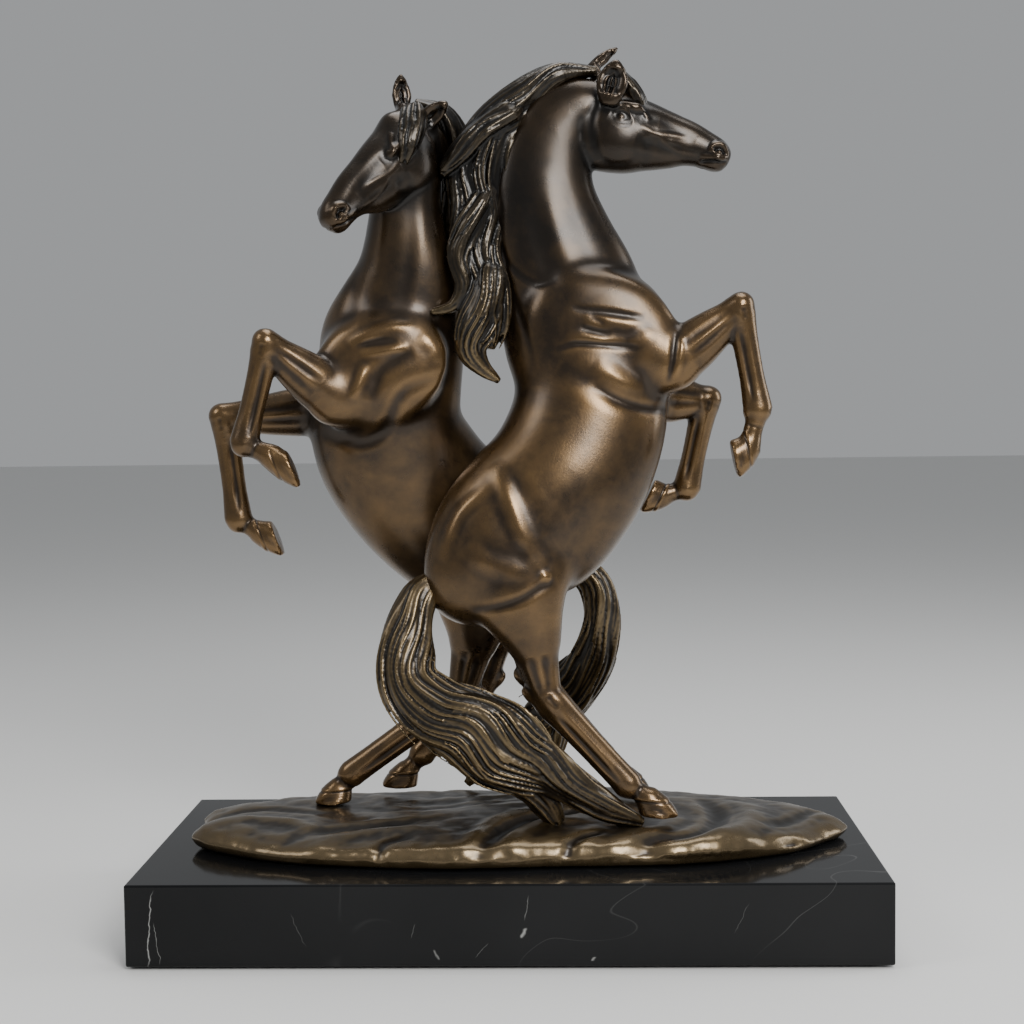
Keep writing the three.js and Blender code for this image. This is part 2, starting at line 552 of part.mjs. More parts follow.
leftHorse.body = cutBy(leftHorse.body, rightClearance, maneSolid(rightPose, WELD_GAP));
leftHorse.neck = cutBy(leftHorse.neck, maneSolid(rightPose, WELD_GAP));
rightHorse.tail = cutBy(rightHorse.tail, leftClearance);
leftHorse.tail = cutBy(leftHorse.tail, rightClearance);
rightHorse.mane = cutBy(rightHorse.mane, leftClearance);
leftHorse.mane = cutBy(leftHorse.mane, rightClearance, maneSolid(rightPose, WELD_GAP));

for (const [owner, horse] of [["right_horse", rightHorse], ["left_horse", leftHorse]]) {
  for (const [piece, solid] of Object.entries(horse)) {
    add(figures, `${owner}_${LEG_NAMES[piece] ?? piece}`, mainBody(scaled(solid)), BRONZE);
  }
}

const standing = [scaled(rightClearance), scaled(leftClearance), ...tailClearances.map(scaled)];
add(figures, "bronze_ground", groundCasting(standing), BRONZE);
add(figures, "marble_plinth", plinthBlock(), MARBLE);

STUD_X.forEach((x, i) => {
  const washerTop = boreTop - WELD_GAP;
  const washerBottom = washerTop - WASHER_THICKNESS;
  const nutTop = washerBottom - WELD_GAP;
  const nutRadius = NUT_ACROSS_FLATS / 2 / Math.cos(Math.PI / 6);
  const hole = post(x, STUD_Y, studBottom - 1, 1, STUD_RADIUS + THREAD_CLEARANCE);
  add(figures, `stud_${i + 1}`, post(x, STUD_Y, studBottom, studTop, STUD_RADIUS), STEEL);
  add(figures, `washer_${i + 1}`, cutBy(post(x, STUD_Y, washerBottom, washerTop, WASHER_RADIUS), hole), STEEL);
  add(figures, `nut_${i + 1}`, cutBy(post(x, STUD_Y, nutTop - NUT_HEIGHT, nutTop, nutRadius, 6), hole), STEEL);
});

const padX = PLINTH_LENGTH / 2 - PAD_INSET;
const padY = PLINTH_DEPTH / 2 - PAD_INSET;
[[-padX, -padY], [padX, -padY], [-padX, padY], [padX, padY]].forEach(([x, y], i) => {
  const pad = post(x, y, 0, PAD_HEIGHT - WELD_GAP, PAD_RADIUS, 32);
  add(statuette, `felt_pad_${i + 1}`, pad, FELT);
});

export default statuette;
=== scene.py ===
import math
import bmesh
import bpy
import numpy as np
from mathutils import Matrix, Vector
from mathutils import noise as noise_of
from mathutils.bvhtree import BVHTree


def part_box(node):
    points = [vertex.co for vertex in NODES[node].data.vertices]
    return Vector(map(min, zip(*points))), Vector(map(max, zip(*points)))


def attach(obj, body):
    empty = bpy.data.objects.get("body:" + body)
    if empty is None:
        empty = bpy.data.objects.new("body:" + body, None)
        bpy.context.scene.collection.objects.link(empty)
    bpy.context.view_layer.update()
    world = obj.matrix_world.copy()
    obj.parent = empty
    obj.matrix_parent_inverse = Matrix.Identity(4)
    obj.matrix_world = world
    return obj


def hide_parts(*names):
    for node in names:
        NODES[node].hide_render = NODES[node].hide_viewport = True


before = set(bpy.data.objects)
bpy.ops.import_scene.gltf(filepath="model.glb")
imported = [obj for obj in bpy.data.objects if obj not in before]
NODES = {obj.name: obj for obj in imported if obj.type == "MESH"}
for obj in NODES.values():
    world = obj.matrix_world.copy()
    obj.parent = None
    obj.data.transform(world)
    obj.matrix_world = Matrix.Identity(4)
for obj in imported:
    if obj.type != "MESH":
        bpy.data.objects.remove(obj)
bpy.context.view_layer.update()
MM = 0.001

# ------------------------------------------------------------------ camera

PAD_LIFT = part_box("marble_plinth")[0].z
CAMERA_PLACE = Vector((0.0286, -0.8583, 0.2589 + PAD_LIFT))
CAMERA_YAW = math.radians(-1.79)
CAMERA_PITCH = math.radians(-3.85)
CAMERA_ROLL = math.radians(-0.72)
CAMERA_LENS = 61.14


def make_camera():
    ahead = Vector((math.sin(CAMERA_YAW) * math.cos(CAMERA_PITCH),
                    math.cos(CAMERA_YAW) * math.cos(CAMERA_PITCH), math.sin(CAMERA_PITCH)))
    level = ahead.cross(Vector((0, 0, 1))).normalized()
    upright = level.cross(ahead)
    right = level * math.cos(CAMERA_ROLL) + upright * math.sin(CAMERA_ROLL)
    up = upright * math.cos(CAMERA_ROLL) - level * math.sin(CAMERA_ROLL)
    data = bpy.data.cameras.new("camera")
    data.lens = CAMERA_LENS
    data.sensor_width = 36
    data.clip_start = 0.01
    camera = bpy.data.objects.new("camera", data)
    turn = Matrix((right, up, -ahead)).transposed().to_4x4()
    camera.matrix_world = Matrix.Translation(CAMERA_PLACE) @ turn
    bpy.context.scene.collection.objects.link(camera)
    bpy.context.scene.camera = camera


# ------------------------------------------------------------------ meshes as arrays

def new_object(name, mesh):
    made = bpy.data.objects.new(name, mesh)
    bpy.context.scene.collection.objects.link(made)
    return made


def mesh_of(bm, name):
    """Turns a bmesh into a mesh, and frees it."""
    mesh = bpy.data.meshes.new(name)
    bm.to_mesh(mesh)
    bm.free()
    return mesh


def smooth_shaded(mesh):
    mesh.polygons.foreach_set("use_smooth", [True] * len(mesh.polygons))
    return mesh


def merged_copy(node):
    """A welded copy of a CAD node as a bmesh."""
    bm = bmesh.new()
    bm.from_mesh(NODES[node].data)
    bmesh.ops.remove_doubles(bm, verts=bm.verts, dist=1e-6)
    bm.normal_update()
    return bm


def append(target, source):
    """Adds one bmesh to another, and frees the one added."""
    mesh = mesh_of(source, "joined")
    target.from_mesh(mesh)
    bpy.data.meshes.remove(mesh)


def applied(bm, name, *modifiers):
    """The mesh left when modifiers, given as (kind, settings), have been applied to a bmesh."""
    mesh = mesh_of(bm, name)
    made = new_object(name, mesh)
    for kind, settings in modifiers:
        modifier = made.modifiers.new(kind, kind)
        for key, value in settings.items():
            setattr(modifier, key, value)
    graph = bpy.context.evaluated_depsgraph_get()
    result = bpy.data.meshes.new_from_object(made.evaluated_get(graph))
    bpy.data.objects.remove(made)
    bpy.data.meshes.remove(mesh)
    return result


def voxels(bm, name, size):
    return applied(bm, name, ("REMESH", {"mode": "VOXEL", "voxel_size": size, "adaptivity": 0.0}))


def points_of(mesh):
    co = np.empty(len(mesh.vertices) * 3)
    mesh.vertices.foreach_get("co", co)
    return co.reshape(-1, 3)


def put_points(mesh, co):
    mesh.vertices.foreach_set("co", np.asarray(co, dtype=float).ravel())
    mesh.update()


def normals_of(mesh):
    out = np.empty(len(mesh.vertices) * 3)
    mesh.vertex_normals.foreach_get("vector", out)
    return out.reshape(-1, 3)


def edges_of(mesh):
    out = np.empty(len(mesh.edges) * 2, dtype=np.int64)
    mesh.edges.foreach_get("vertices", out)
    return out.reshape(-1, 2)


def averaged(co, edges, count):
    a, b = edges[:, 0], edges[:, 1]
    total = np.empty_like(co)
    for k in range(co.shape[1]):
        total[:, k] = np.bincount(a, co[b, k], len(co)) + np.bincount(b, co[a, k], len(co))
    return total / count[:, None]


def smoothed(co, edges, rounds, back=-0.53, strength=0.5):
    """Smooths without shrinking: each round pulls in and then pushes back out."""
    count = np.maximum(np.bincount(edges.ravel(), minlength=len(co)), 1)
    for _ in range(rounds):
        co = co + strength * (averaged(co, edges, count) - co)
        if back:
            co = co + back * (averaged(co, edges, count) - co)
    return co


def keep_outer(mesh, least=0.25):
    """Deletes the inner skins that a hollow casting leaves behind, keeping each part that is large."""
    bm = bmesh.new()
    bm.from_mesh(mesh)
    bm.verts.ensure_lookup_table()
    label = [-1] * len(bm.verts)
    groups = []
    for start in bm.verts:
        if label[start.index] >= 0:
            continue
        label[start.index] = len(groups)
        stack = [start]
        members = []
        while stack:
            v = stack.pop()
            members.append(v)
            for e in v.link_edges:
                w = e.other_vert(v)
                if label[w.index] < 0:
                    label[w.index] = len(groups)
                    stack.append(w)
        groups.append(members)
    largest = max(len(g) for g in groups)
    spans = []
    for g in groups:
        zs = [v.co.z for v in g]
        spans.append(max(zs) - min(zs))
    tallest = max(spans)
    for g, span in zip(groups, spans):
        if len(g) < largest * least or span < tallest * 0.8:
            bmesh.ops.delete(bm, geom=g, context="VERTS")
    bm.to_mesh(mesh)
    bm.free()
    mesh.update()
    return mesh


# ------------------------------------------------------------------ places

def spot(node, share):
    """A point at shares of a CAD node's box along X, Y and Z."""
    low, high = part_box(node)
    return Vector([low[i] + (high[i] - low[i]) * share[i] for i in range(3)])


def ellipsoid(bm, centre, radii, along, side=Vector((0, 1, 0)), detail=3):
    """Adds an ellipsoid: first radius along a direction, second along the side, third across both."""
    x = Vector(along).normalized()
    y = (side - x * side.dot(x)).normalized()
    z = x.cross(y)
    place = Matrix.Translation(centre) @ Matrix((x, y, z)).transposed().to_4x4()
    place = place @ Matrix.Diagonal((*radii, 1))
    bmesh.ops.create_icosphere(bm, subdivisions=detail, radius=1, matrix=place)


def muscle(bm, start, end, thick, deep, side=Vector((0, 1, 0)), over=1.12):
    """Adds a spindle-shaped muscle from one point to another, sizes in millimetres."""
    span = end - start
    ellipsoid(bm, (start + end) / 2, (span.length / 2 * over, thick * MM, deep * MM), span, side)


def distance_to_path(co, path):
    """Distance of each point to a polyline, and how far along it the nearest place is, from 0 to 1."""
    best = np.full(len(co), np.inf)
    where = np.zeros(len(co))
    lengths = [np.linalg.norm(path[i + 1] - path[i]) for i in range(len(path) - 1)]
    total = sum(lengths)
    done = 0.0
    for i, length in enumerate(lengths):
        if length < 1e-12:
            continue
        line = path[i + 1] - path[i]
        t = np.clip((co - path[i]) @ line / length**2, 0, 1)
        gap = np.linalg.norm(co - path[i] - t[:, None] * line, axis=1)
        near = gap < best
        best[near] = gap[near]
        where[near] = (done + t[near] * length) / total
        done += length
    return best, where


def rounded(path, steps=6):
    """A smooth path through a few points."""
    pts = [np.array(p, float) for p in path]
    if len(pts) < 3:
        return np.array([pts[0] + (pts[-1] - pts[0]) * t for t in np.linspace(0, 1, steps)])
    out = []
    for i in range(len(pts) - 1):
        before = pts[max(i - 1, 0)]
        after = pts[min(i + 2, len(pts) - 1)]
        for t in np.linspace(0, 1, steps, endpoint=False):
            a, b, c, d = before, pts[i], pts[i + 1], after
            out.append(0.5 * (2 * b + (c - a) * t + (2 * a - 5 * b + 4 * c - d) * t**2
                              + (3 * b - a - 3 * c + d) * t**3))
    out.append(pts[-1])
    return np.array(out)


class Clay:
    """A remeshed surface that strokes raise or carve."""

    def __init__(self, mesh):
        self.mesh = mesh
        self.co = points_of(mesh)
        self.edges = edges_of(mesh)
        self.refresh()

    def refresh(self):
        put_points(self.mesh, self.co)
        self.normal = normals_of(self.mesh)

    def stroke(self, path, width, height, flat=None, taper=0.25, facing=None, sharp=1.0, deep=None):
        """Raises (or carves, when height is negative) along a path. Width and height are in millimetres.
        Flat is an axis that distances ignore, so that the stroke runs over both sides; deep is how far it
        may lie from the path along that axis."""
        line = rounded(path)
        width = width * MM
        pts, ref = self.co, line
        if flat is not None:
            axis = np.array(flat, float)
            axis /= np.linalg.norm(axis)
            level, middle = pts @ axis, (ref @ axis).mean()
            pts = pts - np.outer(pts @ axis, axis)
            ref = ref - np.outer(ref @ axis, axis)
        low, high = ref.min(0) - width, ref.max(0) + width
        near = np.all((pts >= low) & (pts <= high), axis=1)
        if deep is not None:
            near &= np.abs(level - middle) < deep
        if facing is not None:
            near &= self.normal @ np.array(facing, float) > 0.05
        index = np.nonzero(near)[0]
        if not len(index):
            return
        gap, along = distance_to_path(pts[index], ref)
        share = np.clip(1 - gap / width, 0, 1)
        weight = (share * share * (3 - 2 * share)) ** sharp
        weight *= np.clip(np.minimum(along, 1 - along) / taper, 0, 1) ** 0.7
        self.co[index] += self.normal[index] * (weight * height * MM)[:, None]

    def dab(self, centre, width, height, sharp=1.0):
        """Raises or sinks a round patch."""
        gap = np.linalg.norm(self.co - np.array(centre), axis=1) / (width * MM)
        index = np.nonzero(gap < 1)[0]
        share = 1 - gap[index]
        weight = (share * share * (3 - 2 * share)) ** sharp
        self.co[index] += self.normal[index] * (weight * height * MM)[:, None]

    def relax(self, rounds):
        self.co = smoothed(self.co, self.edges, rounds)
        self.refresh()

    def soften(self, rounds):
        self.co = smoothed(self.co, self.edges, rounds, back=0)
        self.refresh()

    def finish(self):
        self.refresh()
        return self.mesh


RELIEF_SCALES = ((4, 2.6), (14, 0.5), (50, 0.12))


def relief_of(co, edges, count, normal, finer=1):
    """How far each place stands proud of its surroundings, at three scales; finer is for a closer mesh."""
    flat = co
    relief = np.zeros(len(co))
    for rounds, weight in RELIEF_SCALES:
        for _ in range(rounds * finer):
            flat = averaged(flat, edges, count)
        relief += weight * np.einsum("ij,ij->i", co - flat, normal) / MM
    return relief


def paint_relief(mesh, coarse=0.0):
    """Stores how much each place stands proud of (or lies below) its surroundings, from -1 to 1, as relief.
    Where the edges are shorter than the coarse length, more rounds reach as far."""
    co = points_of(mesh)
    edges = edges_of(mesh)
    normal = normals_of(mesh)
    count = np.maximum(np.bincount(edges.ravel(), minlength=len(co)), 1)
    relief = relief_of(co, edges, count, normal)
    if coarse:
        span = np.linalg.norm(co[edges[:, 0]] - co[edges[:, 1]], axis=1)
        mean = (np.bincount(edges[:, 0], span, len(co)) + np.bincount(edges[:, 1], span, len(co))) / count
        share = np.clip((mean / coarse - 0.55) / 0.3, 0, 1)[:, None]
        for _ in range(6):
            share = averaged(share, edges, count)
        relief = relief * share[:, 0] + relief_of(co, edges, count, normal, 3) * (1 - share[:, 0])
    relief = np.tanh(relief)
    layer = mesh.attributes.get("relief") or mesh.attributes.new("relief", "FLOAT", "POINT")
    layer.data.foreach_set("value", relief.astype(np.float32))


# ------------------------------------------------------------------ materials

def link(tree, a, out, b, into):
    tree.links.new(a.outputs[out], b.inputs[into])


def node(tree, kind, **values):
    made = tree.nodes.new(kind)
    for key, value in values.items():
        if hasattr(made, key):
            setattr(made, key, value)
        else:
            made.inputs[key.replace("_", " ")].default_value = value
    return made


def ramp(tree, stops):
    made = tree.nodes.new("ShaderNodeValToRGB")
    made.color_ramp.elements[0].position = stops[0][0]
    made.color_ramp.elements[0].color = (*stops[0][1], 1)
    made.color_ramp.elements[1].position = stops[-1][0]
    made.color_ramp.elements[1].color = (*stops[-1][1], 1)
    for place, colour in stops[1:-1]:
        made.color_ramp.elements.new(place).color = (*colour, 1)
    return made


def fresh(name):
    material = bpy.data.materials.new(name)
    material.use_nodes = True
    tree = material.node_tree
    return material, tree, tree.nodes["Principled BSDF"]


def noise(tree, where, scale, detail=4.0, rough=0.55, distort=0.0):
    made = node(tree, "ShaderNodeTexNoise")
    made.inputs["Scale"].default_value = scale
    made.inputs["Detail"].default_value = detail
    made.inputs["Roughness"].default_value = rough
    made.inputs["Distortion"].default_value = distort
    link(tree, where, "Object", made, "Vector")
    return made


def maths(tree, kind, a, b, clamp=False):
    made = tree.nodes.new("ShaderNodeMath")
    made.operation = kind
    made.use_clamp = clamp
    for i, value in enumerate((a, b)):
        if isinstance(value, (int, float)):
            made.inputs[i].default_value = value
        else:
            tree.links.new(value, made.inputs[i])
    return made.outputs[0]


def stretched(tree, value, by, plus):
    """A shader value multiplied by one number, with another added."""
    made = maths(tree, "MULTIPLY_ADD", value, by)
    made.node.inputs[2].default_value = plus
    return made


def patinated_bronze(name, recess, body, worn, roughness, fine, painted_head_shade=None):
    """Bronze under a brown patina: dark in the hollows, rubbed warm where it stands proud, and waxed. When
    asked, painted shade darkens it towards the heads.
    """
    material, tree, shader = fresh(name)
    where = node(tree, "ShaderNodeTexCoord")
    relief = node(tree, "ShaderNodeAttribute", attribute_name="relief")
    clouds = noise(tree, where, 22, 5, 0.6, 0.4)
    mottle = noise(tree, where, 120, 4, 0.6)
    proud = stretched(tree, relief.outputs["Fac"], 0.36, 0.5)
    shift = stretched(tree, clouds.outputs["Fac"], 0.56, -0.28)
    small = stretched(tree, mottle.outputs["Fac"], 0.16, -0.08)
    total = maths(tree, "ADD", maths(tree, "ADD", proud, shift), small, clamp=True)
    bright = tuple(min(1, c * 1.5) for c in worn)
    tint = ramp(tree, [(0.12, recess), (0.46, body), (0.68, worn), (0.95, bright)])
    tree.links.new(total, tint.inputs["Fac"])
    colour = tint.outputs["Color"]
    if painted_head_shade:
        # Painted shade: the colour darkens towards the heads, from one height to another, down to a share
        foot, top, share = painted_head_shade
        place = node(tree, "ShaderNodeSeparateXYZ")
        link(tree, where, "Object", place, "Vector")
        rise = node(tree, "ShaderNodeMapRange")
        rise.interpolation_type = "SMOOTHSTEP"
        for key, value in (("From Min", foot), ("From Max", top), ("To Min", 1.0), ("To Max", share)):
            rise.inputs[key].default_value = value
        link(tree, place, "Z", rise, "Value")
        shade = node(tree, "ShaderNodeVectorMath")
        shade.operation = "SCALE"
        tree.links.new(colour, shade.inputs[0])
        tree.links.new(rise.outputs["Result"], shade.inputs["Scale"])
        colour = shade.outputs["Vector"]
    tree.links.new(colour, shader.inputs["Base Color"])
    gloss = stretched(tree, mottle.outputs["Fac"], 0.16, roughness - 0.08)
    hollow = maths(tree, "MULTIPLY", relief.outputs["Fac"], -0.12)
    tree.links.new(maths(tree, "ADD", gloss, hollow, clamp=True), shader.inputs["Roughness"])
    shader.inputs["Metallic"].default_value = 0.8
    shader.inputs["Coat Weight"].default_value = 0.45
    shader.inputs["Coat Roughness"].default_value = 0.25
    grain = noise(tree, where, fine, 3, 0.6)
    bump = node(tree, "ShaderNodeBump")
    bump.inputs["Strength"].default_value = 0.16
    bump.inputs["Distance"].default_value = 0.0004
    link(tree, grain, "Fac", bump, "Height")
    link(tree, bump, "Normal", shader, "Normal")
    return material


# White veins on the front of the block: where along X, lean, lowest and highest height above the block's
# middle, half width and strength. All are in metres but the lean and the strength.
VEINS = [
    (-0.1635, 0.06, -0.020, 0.017, 0.00035, 0.55), (-0.1615, -0.10, -0.018, 0.002, 0.0002, 0.35),
    (0.0075, 0.16, 0.002, 0.014, 0.0003, 0.22), (0.0085, 0.35, -0.006, -0.001, 0.0008, 0.5),
    (-0.0010, 0.9, -0.015, -0.008, 0.00025, 0.2), (-0.0355, -0.2, -0.016, -0.011, 0.0007, 0.28),
    (0.0475, 0.5, -0.0165, -0.0145, 0.0009, 0.4), (-0.0420, 0.3, -0.006, 0.001, 0.0002, 0.16),
    (0.1040, 0.5, -0.004, 0.010, 0.0002, 0.14), (-0.0960, -0.4, -0.010, 0.006, 0.0002, 0.12),
]


def black_marble():
    """Polished black marble, nearly plain, with a few thin broken white veins."""
    material, tree, shader = fresh("polished_black_marble")
    where = node(tree, "ShaderNodeTexCoord")
    warp = noise(tree, where, 90, 3, 0.6)
    cloudy = noise(tree, where, 9, 3, 0.5)
    place = node(tree, "ShaderNodeSeparateXYZ")
    link(tree, where, "Object", place, "Vector")
    low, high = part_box("marble_plinth")
    height = maths(tree, "SUBTRACT", place.outputs["Z"], (low.z + high.z) / 2)
    wobble = maths(tree, "MULTIPLY", maths(tree, "SUBTRACT", warp.outputs["Fac"], 0.5), 0.006)
    total = 0.0
    for x, lean, bottom, top, half, strength in VEINS:
        line = maths(tree, "ADD", maths(tree, "MULTIPLY", height, lean), wobble)
        aside = maths(tree, "SUBTRACT", maths(tree, "SUBTRACT", place.outputs["X"], x), line)
        gap = maths(tree, "ABSOLUTE", aside, 0)
        body = maths(tree, "SUBTRACT", 1.0, maths(tree, "DIVIDE", gap, half), clamp=True)
        middle = maths(tree, "ABSOLUTE", maths(tree, "SUBTRACT", height, (bottom + top) / 2), 0)
        ends = maths(tree, "SUBTRACT", 1.0, maths(tree, "DIVIDE", middle, (top - bottom) / 2), clamp=True)
        ends = maths(tree, "MULTIPLY", ends, 3.0, clamp=True)
        vein = maths(tree, "MULTIPLY", maths(tree, "MULTIPLY", body, ends), strength)
        total = maths(tree, "MAXIMUM", vein, total)
    front = maths(tree, "LESS_THAN", place.outputs["Y"], low.y + 0.02)
    hair = noise(tree, where, 6.5, 2, 0.5, 0.9)
    thin = maths(tree, "ABSOLUTE", maths(tree, "SUBTRACT", hair.outputs["Fac"], 0.52), 0)
    line = maths(tree, "SUBTRACT", 1.0, maths(tree, "DIVIDE", thin, 0.0016), clamp=True)
    patches = maths(tree, "MULTIPLY", maths(tree, "SUBTRACT", cloudy.outputs["Fac"], 0.5), 0.45, clamp=True)
    faint = maths(tree, "MULTIPLY", line, patches, clamp=True)
    both = maths(tree, "MAXIMUM", maths(tree, "MULTIPLY", total, front), faint, clamp=True)
    cloud = ramp(tree, [(0.3, (0.004, 0.0042, 0.0046)), (0.7, (0.009, 0.0092, 0.0098))])
    link(tree, cloudy, "Fac", cloud, "Fac")
    mixed = node(tree, "ShaderNodeMix", data_type="RGBA")
    tree.links.new(both, mixed.inputs["Factor"])
    tree.links.new(cloud.outputs["Color"], mixed.inputs[6])
    mixed.inputs[7].default_value = (0.55, 0.55, 0.53, 1)
    tree.links.new(mixed.outputs[2], shader.inputs["Base Color"])
    shader.inputs["Roughness"].default_value = 0.09
    shader.inputs["Specular IOR Level"].default_value = 0.2
    return material


def plated_steel():
    material, tree, shader = fresh("zinc_plated_steel")
    where = node(tree, "ShaderNodeTexCoord")
    stains = noise(tree, where, 180, 4, 0.6)
    tint = ramp(tree, [(0.3, (0.42, 0.44, 0.45)), (0.7, (0.62, 0.64, 0.66))])
    link(tree, stains, "Fac", tint, "Fac")
    link(tree, tint, "Color", shader, "Base Color")
    shader.inputs["Metallic"].default_value = 1
    shader.inputs["Roughness"].default_value = 0.36
    return material


def dark_felt():
    material, tree, shader = fresh("dark_felt")
    where = node(tree, "ShaderNodeTexCoord")
    fibres = noise(tree, where, 1400, 4, 0.7, 1.5)
    tint = ramp(tree, [(0.3, (0.012, 0.03, 0.018)), (0.7, (0.035, 0.075, 0.045))])
    link(tree, fibres, "Fac", tint, "Fac")
    link(tree, tint, "Color", shader, "Base Color")
    shader.inputs["Roughness"].default_value = 0.95
    shader.inputs["Sheen Weight"].default_value = 0.4
    bump = node(tree, "ShaderNodeBump")
    bump.inputs["Strength"].default_value = 0.6
    bump.inputs["Distance"].default_value = 0.0003
    link(tree, fibres, "Fac", bump, "Height")
    link(tree, bump, "Normal", shader, "Normal")
    return material


# The figure and hair bronzes carry painted shade: their colour darkens from below the neck's foot up to the
# heads
NECK_FOOT, POLL_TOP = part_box("right_horse_neck")[0].z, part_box("right_horse_head")[1].z
NECK_RISE = POLL_TOP - NECK_FOOT
FIGURE_BRONZE = patinated_bronze("patinated_bronze", (0.006, 0.0042, 0.003), (0.031, 0.0185, 0.0088),
                                 (0.135, 0.078, 0.029), 0.31, 900,
                                 (NECK_FOOT - 0.3 * NECK_RISE, NECK_FOOT + 0.5 * NECK_RISE, 0.2))
HAIR_BRONZE = patinated_bronze("patinated_bronze_hair", (0.003, 0.0024, 0.002), (0.013, 0.0092, 0.0058),
                               (0.12, 0.082, 0.036), 0.34, 900,
                               (NECK_FOOT - 0.3 * NECK_RISE, NECK_FOOT + 0.3 * NECK_RISE, 0.25))
GROUND_BRONZE = patinated_bronze("patinated_bronze_rock", (0.006, 0.0045, 0.0035), (0.030, 0.0205, 0.0115),
                                 (0.10, 0.07, 0.034), 0.38, 700)
MARBLE = black_marble()
STEEL = plated_steel()
FELT = dark_felt()


def finish_piece(made, body, material, slot, *nodes):
    made.data.materials.clear()
    made.data.materials.append(material)
    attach(made, body)
    if nodes:
        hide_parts(*nodes)
    return made


# ------------------------------------------------------------------ the figures

def foreleg_plan(*places):
    return dict(zip(("top", "elbow", "knee", "fetlock", "coronet", "sole", "toe"), places))


def hind_leg_plan(*places):
    return dict(zip(("hip", "stifle", "gaskin", "hock", "fetlock", "coronet", "sole", "toe"), places))


